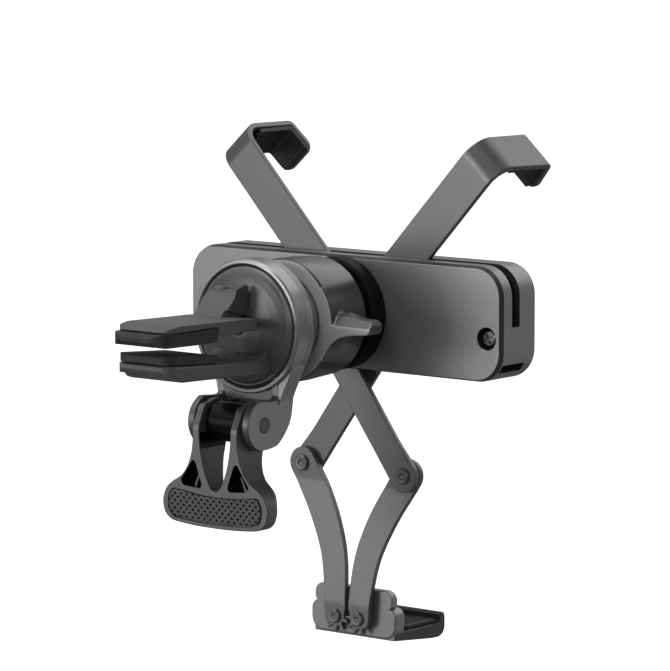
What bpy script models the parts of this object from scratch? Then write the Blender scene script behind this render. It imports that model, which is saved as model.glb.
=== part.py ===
"""Gravity holder for a car air vent.

A cam clamp grips one vent blade. A ball joint behind it carries a flat case. Two
flat metal levers cross below the case: each has a hooked upper arm that grips one
side of the device and a lower arm that carries a link. Both links hang the foot that
the device stands on, so its weight pulls the foot down and closes the arms.

Units: millimetres in the functions below, metres in the scene (MM).
Working frame: X across the holder, +Y towards the device, +Z up, zero at the middle
of the case. The whole object hangs under one empty that moves the zero to the
middle of the lower clamp pad, where the vent blade lies.
"""

import math

import bmesh
import bpy

MM = 0.001

# ---------------------------------------------------------------- dimensions
# clamp pad point that becomes the origin of the part
ORIGIN = (0.0, -72.0, -3.6272)

# case
CASE_W = 97.0
CASE_H = 28.1
CASE_R = 7.5
CASE_BACK = -6.2
CASE_SEAM = -1.6
CASE_FRONT = 8.6
WALL = 1.6
SLOT_HALF = 1.6
SLOT_END_Z = -0.7
SCREW_X = 44.3
SCREW_Z = -3.3

# levers (arms)
PIVOT_X = 8.5
PLATE = 1.6
ARM_ANGLE = 47.5
ARM_LEN = 51.9
ARM_N0 = -1.0
ARM_N1 = 9.2
HOOK_DEPTH = 20.5
BEND_R = 6.0
LIP_R = 2.0
KNEE = (16.6, -39.8)
GEAR_PITCH_R = 8.5
GEAR_ROOT_R = 7.45
GEAR_TIP_R = 9.2
GEAR_STEP = 18.0
PIN_R = 2.5
BORE_R = 2.65

# links and foot
FOOT_PIVOT = (3.6, -76.8)
LINK_T = 1.5
LINK_TOP_Y = -0.25
LINK_LOW_Y = -3.45
RIVET_R = 1.6
FOOT_BACK_Y = -1.5
FOOT_W = 13.3
FOOT_TIP_Y = 20.0
FOOT_TOP_Z = -80.0

# ball joint
BALL_Y = -20.0
BALL_R = 7.0

# clamp head
DRUM_R = 16.2
DRUM_Y0 = -43.2
DRUM_Y1 = -36.7
JAW_HALF_W = 8.3
JAW_PIN = (-48.8, 6.1)
LEVER_PIN = (-47.6, -22.6)
EAR_IN = 7.4
EAR_OUT = 9.4

# ---------------------------------------------------------------- scene reset
for old in list(bpy.data.objects):
    bpy.data.objects.remove(old, do_unlink=True)

COLL = bpy.context.scene.collection


holder = bpy.data.objects.new("phone_holder", None)
holder.empty_display_size = 0.01
COLL.objects.link(holder)
holder.location = [-c * MM for c in ORIGIN]
holder["at"] = (0.0, 0.0, 0.0)


def joint_empty(name, where):
    e = bpy.data.objects.new(name, None)
    e.empty_display_size = 0.004
    COLL.objects.link(e)
    e.parent = holder
    e.location = [c * MM for c in where]
    e["at"] = tuple(where)
    return e


# ---------------------------------------------------------------- materials
def material(name, rgb, rough, metal=0.0):
    m = bpy.data.materials.new(name)
    m.use_nodes = True
    b = m.node_tree.nodes["Principled BSDF"]
    b.inputs["Base Color"].default_value = (*rgb, 1.0)
    b.inputs["Roughness"].default_value = rough
    b.inputs["Metallic"].default_value = metal
    return m


M_CASE = material("case_grey", (0.115, 0.117, 0.122), 0.42, 0.25)
M_METAL = material("arm_metal", (0.135, 0.137, 0.145), 0.40, 0.65)
M_STEEL = material("pin_steel", (0.42, 0.42, 0.43), 0.30, 1.0)
M_RUBBER = material("black_rubber", (0.022, 0.022, 0.023), 0.75)
M_BLACK = material("black_plastic", (0.03, 0.03, 0.032), 0.50)
M_HEAD = material("head_grey", (0.075, 0.076, 0.080), 0.38, 0.25)
M_NUT = material("nut_grey", (0.15, 0.15, 0.155), 0.40, 0.2)


# ---------------------------------------------------------------- mesh helpers
def finish(name, bm, parent, mat, smooth=True, helper=False):
    """Turns a bmesh in the working frame into an object whose origin is its parent."""
    at = parent["at"]
    bmesh.ops.recalc_face_normals(bm, faces=bm.faces)
    for v in bm.verts:
        v.co.x = (v.co.x - at[0]) * MM
        v.co.y = (v.co.y - at[1]) * MM
        v.co.z = (v.co.z - at[2]) * MM
    me = bpy.data.meshes.new(name)
    bm.to_mesh(me)
    bm.free()
    ob = bpy.data.objects.new(name, me)
    COLL.objects.link(ob)
    ob.parent = parent
    if mat is not None:
        me.materials.append(mat)
    if smooth:
        me.shade_smooth()
        me.set_sharp_from_angle(angle=math.radians(35))
    if helper:
        ob.hide_render = True
        ob.display_type = "WIRE"
    return ob


def prism(points, axis, lo, hi):
    """A polygon extruded along an axis. points are the other two coordinates in X, Y, Z order."""
    bm = bmesh.new()

    def co(p, h):
        if axis == "x":
            return (h, p[0], p[1])
        if axis == "y":
            return (p[0], h, p[1])
        return (p[0], p[1], h)

    a = [bm.verts.new(co(p, lo)) for p in points]
    b = [bm.verts.new(co(p, hi)) for p in points]
    n = len(points)
    for i in range(n):
        j = (i + 1) % n
        bm.faces.new((a[i], a[j], b[j], b[i]))
    bm.faces.new(a)
    bm.faces.new(list(reversed(b)))
    return bm


def arc(cx, cy, r, a0, a1, n):
    """Points on an arc, angles in degrees, both ends included."""
    return [
        (
            cx + r * math.cos(math.radians(a0 + (a1 - a0) * i / n)),
            cy + r * math.sin(math.radians(a0 + (a1 - a0) * i / n)),
        )
        for i in range(n + 1)
    ]


def circle(cx, cy, r, n, turn=0.0):
    return [
        (
            cx + r * math.cos(2 * math.pi * i / n + turn),
            cy + r * math.sin(2 * math.pi * i / n + turn),
        )
        for i in range(n)
    ]


def rod(cx, cy, r, axis, lo, hi, n=20):
    return prism(circle(cx, cy, r, n), axis, lo, hi)


def box(x0, x1, y0, y1, z0, z1):
    return prism([(x0, y0), (x1, y0), (x1, y1), (x0, y1)], "z", z0, z1)


def turned(profile, cx, cz, n=48):
    """A profile of (radius, y) turned about an axis along Y. Zero radius makes one point."""
    bm = bmesh.new()
    rings = []
    for r, y in profile:
        if r < 1e-6:
            rings.append([bm.verts.new((cx, y, cz))])
        else:
            rings.append(
                [
                    bm.verts.new(
                        (
                            cx + r * math.cos(2 * math.pi * i / n),
                            y,
                            cz + r * math.sin(2 * math.pi * i / n),
                        )
                    )
                    for i in range(n)
                ]
            )
    closed = profile[0][0] > 1e-6
    pairs = list(zip(rings, rings[1:]))
    if closed:
        pairs.append((rings[-1], rings[0]))
    for p, q in pairs:
        for i in range(n):
            j = (i + 1) % n
            if len(p) == 1 and len(q) == 1:
                continue
            if len(p) == 1:
                bm.faces.new((p[0], q[j], q[i]))
            elif len(q) == 1:
                bm.faces.new((p[i], p[j], q[0]))
            else:
                bm.faces.new((p[i], p[j], q[j], q[i]))
    return bm


def round_rect(hw, hh, r, n=6):
    """A rounded rectangle about zero, n steps to a corner."""
    pts = []
    for cx, cy, a in (
        (hw - r, hh - r, 0),
        (-hw + r, hh - r, 90),
        (-hw + r, -hh + r, 180),
        (hw - r, -hh + r, 270),
    ):
        pts += arc(cx, cy, r, a, a + 90, n)
    return pts


def cup(outer, inner, hw, hh, r, n=6):
    """A tub: outer and inner are (y, inset) loops from the rim to the floor."""
    bm = bmesh.new()

    def loop(y, inset):
        rr = max(r - inset, 0.6)
        return [
            bm.verts.new((p[0], y, p[1]))
            for p in round_rect(hw - inset, hh - inset, rr, n)
        ]

    o = [loop(*s) for s in outer]
    i = [loop(*s) for s in inner]
    chain = list(reversed(i)) + o
    m = len(o[0])
    for a, b in zip(chain, chain[1:]):
        for k in range(m):
            j = (k + 1) % m
            bm.faces.new((a[k], a[j], b[j], b[k]))
    bm.faces.new(o[-1])
    bm.faces.new(i[-1])
    return bm


def boolean(ob, other, op):
    md = ob.modifiers.new(op.lower() + "_" + other.name, "BOOLEAN")
    md.operation = op
    md.solver = "EXACT"
    md.object = other
    return md


COUNT = [0]


def cut(ob, bm, parent=None):
    """Takes a shape away from an object."""
    COUNT[0] += 1
    c = finish("cut_%02d" % COUNT[0], bm, parent or ob.parent, None, False, True)
    boolean(ob, c, "DIFFERENCE")
    return c


def add(ob, bm, parent=None):
    """Joins a shape to an object."""
    COUNT[0] += 1
    c = finish("add_%02d" % COUNT[0], bm, parent or ob.parent, None, False, True)
    boolean(ob, c, "UNION")
    return c


# ---------------------------------------------------------------- joint empties
E_CASE = joint_empty("case_roll_axis", (0.0, BALL_Y, 0.0))
E_TILT = joint_empty("ball_tilt_axis", (0.0, BALL_Y, 0.0))
E_PAN = joint_empty("ball_pan_axis", (0.0, BALL_Y, 0.0))
E_NUT = joint_empty("wing_nut_axis", (0.0, -22.0, 0.0))
E_ARM = {
    1: joint_empty("arm_left_axis", (-PIVOT_X, 0.0, 0.0)),
    -1: joint_empty("arm_right_axis", (PIVOT_X, 0.0, 0.0)),
}
E_LINK = {
    1: joint_empty("link_right_axis", (KNEE[0], 0.0, KNEE[1])),
    -1: joint_empty("link_left_axis", (-KNEE[0], 0.0, KNEE[1])),
}
E_FOOT = joint_empty("foot_axis", (FOOT_PIVOT[0], 0.0, FOOT_PIVOT[1]))
E_JAW = joint_empty("upper_jaw_axis", (0.0, JAW_PIN[0], JAW_PIN[1]))
E_LEVER = joint_empty("lever_axis", (0.0, LEVER_PIN[0], LEVER_PIN[1]))
E_ROD = joint_empty("push_rod_axis", (0.0, -39.3, 0.0))
E_HEAD = joint_empty("clamp_frame", (0.0, -40.0, 0.0))

# ---------------------------------------------------------------- case
HW, HH = CASE_W / 2, CASE_H / 2

back_shell = finish(
    "back_shell",
    cup(
        [
            (CASE_SEAM, 0.0),
            (CASE_BACK + 0.8, 0.0),
            (CASE_BACK + 0.25, 0.22),
            (CASE_BACK, 0.8),
        ],
        [(CASE_SEAM, WALL), (CASE_BACK + WALL, WALL)],
        HW,
        HH,
        CASE_R,
    ),
    E_CASE,
    M_CASE,
)
# bosses that seat the two pivot pins: the left one stops short of the lever's lower arm
add(back_shell, rod(-PIVOT_X, 0, 4.2, "y", -5.0, -3.2, 24))
add(back_shell, rod(PIVOT_X, 0, 4.2, "y", -5.0, -1.05, 24))
for s in (-1, 1):
    cut(back_shell, rod(s * PIVOT_X, 0, BORE_R, "y", -4.7, 1.0, 20))
    # screw tower and counterbore
    add(back_shell, rod(s * SCREW_X, SCREW_Z, 3.6, "y", -5.6, -1.6 - 0.05, 20))
    cut(back_shell, rod(s * SCREW_X, SCREW_Z, 2.7, "y", -7.0, -3.6, 24))
    cut(back_shell, rod(s * SCREW_X, SCREW_Z, 1.3, "y", -7.0, 0.0, 12))
    # window at the lower corner of each end
    cut(back_shell, box(min(s * 43.0, s * 52.0), max(s * 43.0, s * 52.0), -4.3, 0.0, -11.7, -9.7))
# underside opening that the lower arms swing in
cut(back_shell, box(-38.0, 38.0, -4.3, 0.0, -20.0, -12.0))

front_shell = finish(
    "front_shell",
    cup(
        [
            (CASE_SEAM + 0.15, 0.0),
            (CASE_FRONT - 1.0, 0.0),
            (CASE_FRONT - 0.3, 0.3),
            (CASE_FRONT, 1.0),
        ],
        [(CASE_SEAM + 0.15, WALL), (CASE_FRONT - WALL, WALL)],
        HW,
        HH,
        CASE_R,
    ),
    E_CASE,
    M_CASE,
)
add(front_shell, rod(-PIVOT_X, 0, 4.2, "y", 1.05, 7.5, 24))
add(front_shell, rod(PIVOT_X, 0, 4.2, "y", 2.7, 7.5, 24))
for s in (-1, 1):
    cut(front_shell, rod(s * PIVOT_X, 0, BORE_R, "y", -1.0, 7.1, 20))
    add(front_shell, rod(s * SCREW_X, SCREW_Z, 3.2, "y", -1.35, 7.5, 20))
    cut(front_shell, rod(s * SCREW_X, SCREW_Z, 1.15, "y", -2.0, 5.6, 12))
    cut(front_shell, box(min(s * 43.0, s * 52.0), max(s * 43.0, s * 52.0), -3.0, 4.6, -11.7, -9.7))
# the slot that the upper arms come out of: along the top and half way down each end
cut(front_shell, box(-60.0, 60.0, -3.0, SLOT_HALF, SLOT_END_Z, 30.0))
cut(front_shell, box(-38.0, 38.0, -3.0, 3.4, -20.0, -12.0))
# shallow seat for the front pad
cut(front_shell, prism(round_rect(38.0, 9.0, 3.0, 4), "y", CASE_FRONT - 0.5, CASE_FRONT + 2.0))

phone_pad = finish(
    "phone_pad",
    prism(round_rect(37.8, 8.8, 2.8, 4), "y", CASE_FRONT - 0.35, CASE_FRONT + 0.5),
    E_CASE,
    M_RUBBER,
)


def screw(name, x, z, y_head, parent, length, head_r=1.9, shank_r=1.0, head_t=1.1):
    """A pan-head screw whose head faces -Y, with a cross recess."""
    ob = finish(
        name,
        turned(
            [
                (0.0, y_head),
                (head_r * 0.55, y_head + 0.08),
                (head_r * 0.92, y_head + 0.35),
                (head_r, y_head + 0.6),
                (head_r, y_head + head_t),
                (shank_r, y_head + head_t),
                (shank_r, y_head + length - 0.8),
                (0.0, y_head + length),
            ],
            x,
            z,
            20,
        ),
        parent,
        M_STEEL,
    )
    w = head_r * 0.62
    t = head_r * 0.15
    cut(
        ob,
        prism(
            [
                (x - w, z - t), (x - t, z - t), (x - t, z - w), (x + t, z - w),
                (x + t, z - t), (x + w, z - t), (x + w, z + t), (x + t, z + t),
                (x + t, z + w), (x - t, z + w), (x - t, z + t), (x - w, z + t),
            ],
            "y",
            y_head - 1.0,
            y_head + 0.55,
        ),
        parent,
    )
    return ob


screw("case_screw_left", -SCREW_X, SCREW_Z, -4.85, E_CASE, 9.2)
screw("case_screw_right", SCREW_X, SCREW_Z, -4.85, E_CASE, 9.2)

for nm, s in (("pivot_pin_left", -1), ("pivot_pin_right", 1)):
    finish(nm, rod(s * PIVOT_X, 0, PIN_R, "y", -4.5, 6.9, 20), E_CASE, M_STEEL)

# round boss on the back of the case, with the ball stud through it
finish(
    "collar_ring",
    turned(
        [
            (8.3, -6.35), (14.0, -6.35), (14.0, -10.4), (13.4, -11.0),
            (9.4, -11.0), (8.3, -10.4),
        ],
        0, 0, 40,
    ),
    E_CASE,
    M_HEAD,
)

# ---------------------------------------------------------------- ball joint
ball = []
for i in range(13):
    a = math.radians(180 - i * 11.9)
    ball.append((BALL_R * math.sin(a), BALL_Y + BALL_R * math.cos(a)))
ball[0] = (0.0, BALL_Y - BALL_R)
finish(
    "ball_stud",
    turned(ball + [(3.9, -13.2), (3.9, -11.6), (8.1, -11.0), (8.1, -6.35), (0.0, -6.35)], 0, 0, 28),
    E_TILT,
    M_STEEL,
)


def shell_ring(r0, r1, a0, a1, n):
    """Profile of a slice of a hollow ball: angles from +Y."""
    pts = []
    for i in range(n + 1):
        a = math.radians(a0 + (a1 - a0) * i / n)
        pts.append((r1 * math.sin(a), BALL_Y + r1 * math.cos(a)))
    for i in range(n + 1):
        a = math.radians(a1 + (a0 - a1) * i / n)
        pts.append((r0 * math.sin(a), BALL_Y + r0 * math.cos(a)))
    return pts


finish("ball_seat", turned(shell_ring(7.15, 8.5, 88.0, 138.0, 6), 0, 0, 28), E_PAN, M_BLACK)

# ---------------------------------------------------------------- wing nut
wing_nut = finish(
    "wing_nut",
    turned(
        [
            (11.3, -29.5), (14.6, -29.5), (15.2, -28.9), (15.2, -24.0),
            (14.7, -15.2), (14.1, -14.6), (10.2, -14.6), (10.2, -16.6), (11.3, -16.9),
        ],
        0, 0, 48,
    ),
    E_NUT,
    M_NUT,
)
for s in (-1, 1):
    pts = [
        (13.0, -7.0), (15.2, -4.8), (17.0, -3.3), (19.2, -2.4), (22.0, -1.95), (25.3, -1.7),
    ]
    pts += [(26.6, -1.1), (27.0, 0.0), (26.6, 1.1)]
    pts += [
        (25.3, 1.7), (22.0, 1.95), (19.2, 2.4), (17.0, 3.3), (15.2, 4.8), (13.0, 7.0),
    ]
    if s < 0:
        pts = [(-p[0], p[1]) for p in pts]
    add(wing_nut, prism(pts, "y", -29.2, -24.6))

# ---------------------------------------------------------------- levers
COS = lambda d: math.cos(math.radians(d))
SIN = lambda d: math.sin(math.radians(d))


def lever_arm(name, side, lower_y0, lower_y1):
    """side 1 is the lever on the left pivot, whose lower arm goes to the right knee."""
    px = -PIVOT_X * side

    def at(u, n):
        """Arm frame to X, Z: u along the upper arm, n towards the middle."""
        x = px + side * (-u * COS(ARM_ANGLE) + n * SIN(ARM_ANGLE))
        z = u * SIN(ARM_ANGLE) + n * COS(ARM_ANGLE)
        return x, z

    def polar(r, a):
        """Point at angle a from the direction of the other lever."""
        return px + side * r * COS(a), r * SIN(a)

    end_u = ARM_LEN - BEND_R
    outline = [at(end_u, ARM_N1), at(0.0, ARM_N1)]
    phase = 0.0 if side == 1 else GEAR_STEP / 2
    teeth = [phase + GEAR_STEP * k for k in range(1, -4, -1)]
    if side == -1:
        teeth = [phase + GEAR_STEP * k for k in range(1, -4, -1)]
    for t in teeth:
        if t > 32:
            continue
        outline += [
            polar(GEAR_ROOT_R, t + 6.0),
            polar(GEAR_TIP_R, t + 1.9),
            polar(GEAR_TIP_R, t - 1.9),
            polar(GEAR_ROOT_R, t - 6.0),
        ]
    last = teeth[-1] - 6.0
    stop = math.degrees(math.atan2(at(7.38, ARM_N0)[1], side * (at(7.38, ARM_N0)[0] - px)))
    stop -= 360.0
    steps = 12
    for k in range(1, steps):
        outline.append(polar(GEAR_ROOT_R, last + (stop - last) * k / steps))
    outline += [at(7.38, ARM_N0), at(end_u, ARM_N0)]

    bm = bmesh.new()
    h = PLATE / 2
    f = [bm.verts.new((p[0], -h, p[1])) for p in outline]
    b = [bm.verts.new((p[0], h, p[1])) for p in outline]
    n = len(outline)
    for i in range(n - 1):
        bm.faces.new((f[i], f[i + 1], b[i + 1], b[i]))
    bm.faces.new(f)
    bm.faces.new(list(reversed(b)))
    # the hook: the plate turns towards the device, runs past its edge and turns back in
    path = []
    ri = BEND_R - PLATE
    cy = BEND_R - PLATE / 2
    for k in range(1, 8):
        a = 90.0 * k / 7
        path.append(
            (end_u + BEND_R * SIN(a), cy - BEND_R * COS(a), end_u + ri * SIN(a), cy - ri * COS(a))
        )
    top = HOOK_DEPTH - LIP_R
    cu = ARM_LEN - LIP_R
    ri = LIP_R - PLATE
    lip = 80.0
    for k in range(0, 5):
        a = lip * k / 4
        path.append(
            (cu + LIP_R * COS(a), top + LIP_R * SIN(a), cu + ri * COS(a), top + ri * SIN(a))
        )
    uo, yo, ui, yi = path[-1]
    du, dy = -SIN(lip), COS(lip)
    path.append((uo + 7.6 * du, yo + 7.6 * dy, ui + 7.6 * du, yi + 7.6 * dy))
    prev = (f[0], b[0], b[-1], f[-1])
    for uo, yo, ui, yi in path:
        flare = min(1.0, yo / HOOK_DEPTH)
        n1, n0 = ARM_N1 - 0.4 * flare, ARM_N0 - 0.9 * flare
        o1, i1 = at(uo, n1), at(ui, n1)
        o0, i0 = at(uo, n0), at(ui, n0)
        now = (
            bm.verts.new((o1[0], yo, o1[1])),
            bm.verts.new((i1[0], yi, i1[1])),
            bm.verts.new((i0[0], yi, i0[1])),
            bm.verts.new((o0[0], yo, o0[1])),
        )
        for k in range(4):
            j = (k + 1) % 4
            bm.faces.new((prev[k], prev[j], now[j], now[k]))
        prev = now
    bm.faces.new(prev)
    ob = finish(name, bm, E_ARM[side], M_METAL)

    # lower arm, one plate thickness off the hub so that the two arms pass each other
    kx, kz = KNEE[0] + PIVOT_X, KNEE[1]
    ang = 54.2

    def low(w, m):
        x = px + side * (w * COS(ang) - m * SIN(ang))
        z = -w * SIN(ang) - m * COS(ang)
        return x, z

    kw = kx * COS(ang) - kz * SIN(ang)
    km = -kx * SIN(ang) - kz * COS(ang)
    pts = []
    for k in range(11):
        a = -90 + 180 * k / 10
        pts.append(low(kw + 4.1 * COS(a), km + 4.1 * SIN(a)))
    pts.append(low(kw - 8.0, 3.2 + 3.75))
    for k in range(15):
        a = 90 + 264 * k / 14
        pts.append(low(6.9 * COS(a), 6.9 * SIN(a)))
    pts.append(low(kw - 8.0, 3.2 - 3.8))
    add(ob, prism(pts, "y", lower_y0, lower_y1))
    mid = (lower_y0 + lower_y1) / 2
    add(ob, rod(px, 0, 5.6, "y", min(0.0, mid), max(0.0, mid), 28))
    cut(ob, rod(px, 0, BORE_R, "y", -6.0, 6.0, 24))
    cut(ob, rod(side * KNEE[0], KNEE[1], RIVET_R + 0.15, "y", -6.0, 6.0, 16))
    return ob


arm_left = lever_arm("arm_left", 1, -2.95, -1.45)
arm_right = lever_arm("arm_right", -1, 0.95, 2.45)


def hook_pad(name, side):
    px = -PIVOT_X * side

    def at(u, n):
        x = px + side * (-u * COS(ARM_ANGLE) + n * SIN(ARM_ANGLE))
        z = u * SIN(ARM_ANGLE) + n * COS(ARM_ANGLE)
        return x, z

    prof = [
        (50.12, 5.6), (50.12, 18.0), (49.55, 18.55), (43.0, 19.72),
        (42.75, 18.35), (48.1, 17.4), (48.75, 16.8), (48.75, 5.6),
    ]
    bm = bmesh.new()
    a = [bm.verts.new((at(u, ARM_N0 + 0.4)[0], y, at(u, ARM_N0 + 0.4)[1])) for u, y in prof]
    b = [bm.verts.new((at(u, ARM_N1 - 0.4)[0], y, at(u, ARM_N1 - 0.4)[1])) for u, y in prof]
    n = len(prof)
    for i in range(n):
        j = (i + 1) % n
        bm.faces.new((a[i], a[j], b[j], b[i]))
    bm.faces.new(a)
    bm.faces.new(list(reversed(b)))
    return finish(name, bm, E_ARM[side], M_RUBBER, smooth=False)


hook_pad("hook_pad_left", 1)
hook_pad("hook_pad_right", -1)


def rivet(name, x, z, parent, y_head, y_tail, head_r=2.05, tail_r=2.2):
    """Head in front at y_head, tail behind at y_tail, both 0.7 thick."""
    ob = finish(
        name,
        turned(
            [
                (0.0, y_head + 0.35), (0.62, y_head + 0.35), (0.75, y_head),
                (head_r - 0.25, y_head), (head_r, y_head + 0.25), (head_r, y_head + 0.7),
                (RIVET_R, y_head + 0.7), (RIVET_R, y_tail - 0.7), (tail_r, y_tail - 0.7),
                (tail_r, y_tail - 0.25), (tail_r - 0.25, y_tail), (0.0, y_tail),
            ],
            x, z, 18,
        ),
        parent,
        M_METAL,
    )
    return ob


rivet("knee_rivet_right", KNEE[0], KNEE[1], E_ARM[1], -3.75, 1.3)
rivet("knee_rivet_left", -KNEE[0], KNEE[1], E_ARM[-1], -1.85, 3.3)

# ---------------------------------------------------------------- links
LINK_AXIS = [
    (16.6, -39.8), (15.0, -42.3), (13.2, -45.0), (11.3, -48.0), (9.1, -52.0), (7.25, -56.0),
    (5.75, -60.0), (4.8, -64.0), (4.25, -68.0), (3.9, -72.0), (3.7, -75.0),
]
LINK_HALF = [0.0, 0.0, 3.97, 3.95, 3.92, 3.82, 3.7, 3.58, 3.45, 3.32, 3.3]
LEAN_TOP = -44.0
LEAN_END = -73.0


def link(name, side):
    """side 1 hangs from the right knee, -1 from the left one. The plate leans back between its ends."""
    left, right = [], []
    m = len(LINK_AXIS)
    for i in range(2, m - 1):
        x, z = LINK_AXIS[i]
        x0, z0 = LINK_AXIS[i - 1]
        x1, z1 = LINK_AXIS[i + 1]
        dx, dz = x1 - x0, z1 - z0
        d = math.hypot(dx, dz)
        nx, nz = -dz / d, dx / d
        half = LINK_HALF[i]
        right.append((x + nx * half, z + nz * half))
        left.append((x - nx * half, z - nz * half))
    head = arc(KNEE[0], KNEE[1], 4.0, -33.0, 147.0, 12)
    fx, fz = FOOT_PIVOT
    gear = []
    step = 36.0
    phase = 0.0 if side == 1 else step / 2
    # toothed end: from the inner side, round the bottom, to the outer side
    for k in range(0, 4):
        t = 180.0 - 0.0 + phase + step * k
        for r, da in ((2.65, -11.5), (4.05, -3.8), (4.05, 3.8), (2.65, 11.5)):
            a = t + da
            if a < 168.0:
                continue
            gear.append((fx + r * COS(a), fz + r * SIN(a)))
    gear += arc(fx, fz, 3.3, 316.0, 360.0, 3)
    outline = head + left + [(fx - 3.2, fz + 2.4)] + gear + list(reversed(right))
    outline = [(p[0] * side, p[1]) for p in outline]
    bm = bmesh.new()
    vs = [bm.verts.new((p[0], 0.0, p[1])) for p in outline]
    bm.faces.new(vs)
    for zc in (LEAN_TOP, LEAN_END):
        bmesh.ops.bisect_plane(
            bm,
            geom=bm.verts[:] + bm.edges[:] + bm.faces[:],
            dist=1e-5,
            plane_co=(0, 0, zc),
            plane_no=(0, 0, 1),
        )
    flat = list(bm.faces)
    res = bmesh.ops.extrude_face_region(bm, geom=flat)
    new = [g for g in res["geom"] if isinstance(g, bmesh.types.BMVert)]
    for v in bm.verts:
        t = min(1.0, max(0.0, (LEAN_TOP - v.co.z) / (LEAN_TOP - LEAN_END)))
        v.co.y = LINK_TOP_Y + (LINK_LOW_Y - LINK_TOP_Y) * t - LINK_T / 2
    for v in new:
        v.co.y += LINK_T
    ob = finish(name, bm, E_LINK[side], M_METAL)
    cut(ob, rod(side * KNEE[0], KNEE[1], RIVET_R + 0.15, "y", -8, 6, 16))
    cut(ob, rod(side * fx, fz, 1.35, "y", -8, 6, 16))
    return ob


link("link_right", 1)
link("link_left", -1)

# ---------------------------------------------------------------- foot

def foot_outline():
    pts = arc(FOOT_W - 3.4, -78.2, 3.4, 270, 360, 5)
    pts += arc(FOOT_W - 2.4, -76.2, 2.4, 0, 78, 4)
    return pts + [(-x, z) for x, z in reversed(pts)]


TAB = arc(12.2 - 2.4, -71.9, 2.4, 0, 90, 4)
TAB = [(11.3, -78.0), (11.3, -74.2), (12.2, -73.3)] + TAB
TAB = TAB + [(-x, z) for x, z in reversed(TAB)]

foot_bracket = finish("foot_bracket", prism(foot_outline(), "y", FOOT_BACK_Y, 2.6), E_FOOT, M_CASE)
add(foot_bracket, prism(TAB, "y", FOOT_BACK_Y, 1.0))
add(
    foot_bracket,
    prism(
        [
            (-1.0, -81.9), (14.3, -83.5), (17.6, -83.6), (19.3, -82.9), (20.0, -81.6),
            (20.0, -78.4), (19.4, -77.4), (18.4, -77.4), (17.9, -78.0), (17.9, FOOT_TOP_Z),
            (-1.0, FOOT_TOP_Z),
        ],
        "x", -12.6, 12.6,
    ),
)
# the pivot that closes the linkage has a wide hole, the other a close one
cut(foot_bracket, rod(FOOT_PIVOT[0], FOOT_PIVOT[1], 1.35, "y", -4, 1.6, 16))
cut(foot_bracket, rod(-FOOT_PIVOT[0], FOOT_PIVOT[1], 1.8, "y", -4, 1.6, 16))

finish(
    "foot_pad",
    prism([(4.7, -79.85), (17.6, -79.85), (17.6, -79.0), (4.7, -79.0)], "x", -11.8, 11.8),
    E_FOOT,
    M_RUBBER,
)
finish(
    "back_pad",
    prism(round_rect(10.6, 2.15, 1.6, 4), "y", 2.75, 4.4),
    E_FOOT,
    M_RUBBER,
).location.z += -76.6 * MM


def foot_rivet(name, side, parent):
    fx, fz = side * FOOT_PIVOT[0], FOOT_PIVOT[1]
    y0 = LINK_LOW_Y - LINK_T / 2 - 0.85
    finish(
        name,
        turned(
            [
                (0.0, y0 + 0.3), (0.5, y0 + 0.3), (0.62, y0),
                (1.6, y0), (1.8, y0 + 0.2), (1.8, y0 + 0.7),
                (1.2, y0 + 0.7), (1.2, 1.4), (0.0, 1.4),
            ],
            fx, fz, 16,
        ),
        parent,
        M_METAL,
    )


foot_rivet("foot_rivet_right", 1, E_FOOT)
foot_rivet("foot_rivet_left", -1, E_LINK[-1])

# ---------------------------------------------------------------- clamp head
pocket = []
for i in range(9):
    a = math.radians(71.3 + (180.0 - 71.3) * i / 8)
    pocket.append((8.75 * math.sin(a), BALL_Y + 8.75 * math.cos(a)))
pocket[-1] = (0.0, BALL_Y - 8.75)
head_housing = finish(
    "head_housing",
    turned(
        [
            (0.0, -38.0), (14.95, -38.0), (14.95, DRUM_Y0), (15.9, DRUM_Y0), (16.2, -42.8),
            (16.2, -37.3), (15.6, DRUM_Y1), (11.7, DRUM_Y1), (11.7, -30.0), (11.0, -29.7),
            (11.0, -17.2),
        ]
        + pocket,
        0, 0, 48,
    ),
    E_HEAD,
    M_HEAD,
)
EAR = [
    (-37.2, -11.0), (-36.9, -14.5), (-37.0, -18.5), (-38.2, -23.5), (-41.2, -27.2),
    (-44.6, -28.4),
] + [(LEVER_PIN[0] + 5.9 * COS(a), LEVER_PIN[1] + 5.9 * SIN(a)) for a in (268, 240, 212, 184, 156, 128, 105)] + [
    (-43.0, -16.9), (-42.6, -13.8),
]
for s in (-1, 1):
    add(head_housing, prism(EAR, "x", min(s * EAR_IN, s * EAR_OUT), max(s * EAR_IN, s * EAR_OUT)))
    cut(
        head_housing,
        rod(LEVER_PIN[0], LEVER_PIN[1], 1.95, "x", min(s * 6.0, s * 11.0), max(s * 6.0, s * 11.0), 18),
    )
# web under the drum that joins both ears
WEB = [(15.6 * COS(a), 15.6 * SIN(a)) for a in range(-148, -31, 9)] + [
    (13.9, -8.5), (12.6, -11.6), (11.2, -14.4), (10.1, -17.0), (9.4, -19.5), (7.4, -19.5),
    (7.4, -18.2), (6.6, -17.6), (-6.6, -17.6), (-7.4, -18.2), (-7.4, -19.5), (-9.4, -19.5),
    (-10.1, -17.0), (-11.2, -14.4), (-12.6, -11.6), (-13.9, -8.5),
]
add(head_housing, prism(WEB, "y", -42.6, -37.6))
# guide hole for the push rod, through the bottom of the drum
cut(head_housing, rod(0.0, -39.3, 1.2, "z", -20.0, -10.0, 14))

face = [
    (0.0, -46.2), (2.4, -46.15), (4.6, -45.95), (6.4, -45.5), (7.6, -45.05), (9.4, -44.8),
    (11.6, -44.4), (13.2, -43.85), (14.3, -43.1), (14.8, -42.4), (14.8, -40.6), (0.0, -40.6),
]
face_disc = finish("face_disc", turned(face, 0, 0, 48), E_HEAD, M_HEAD)
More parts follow.
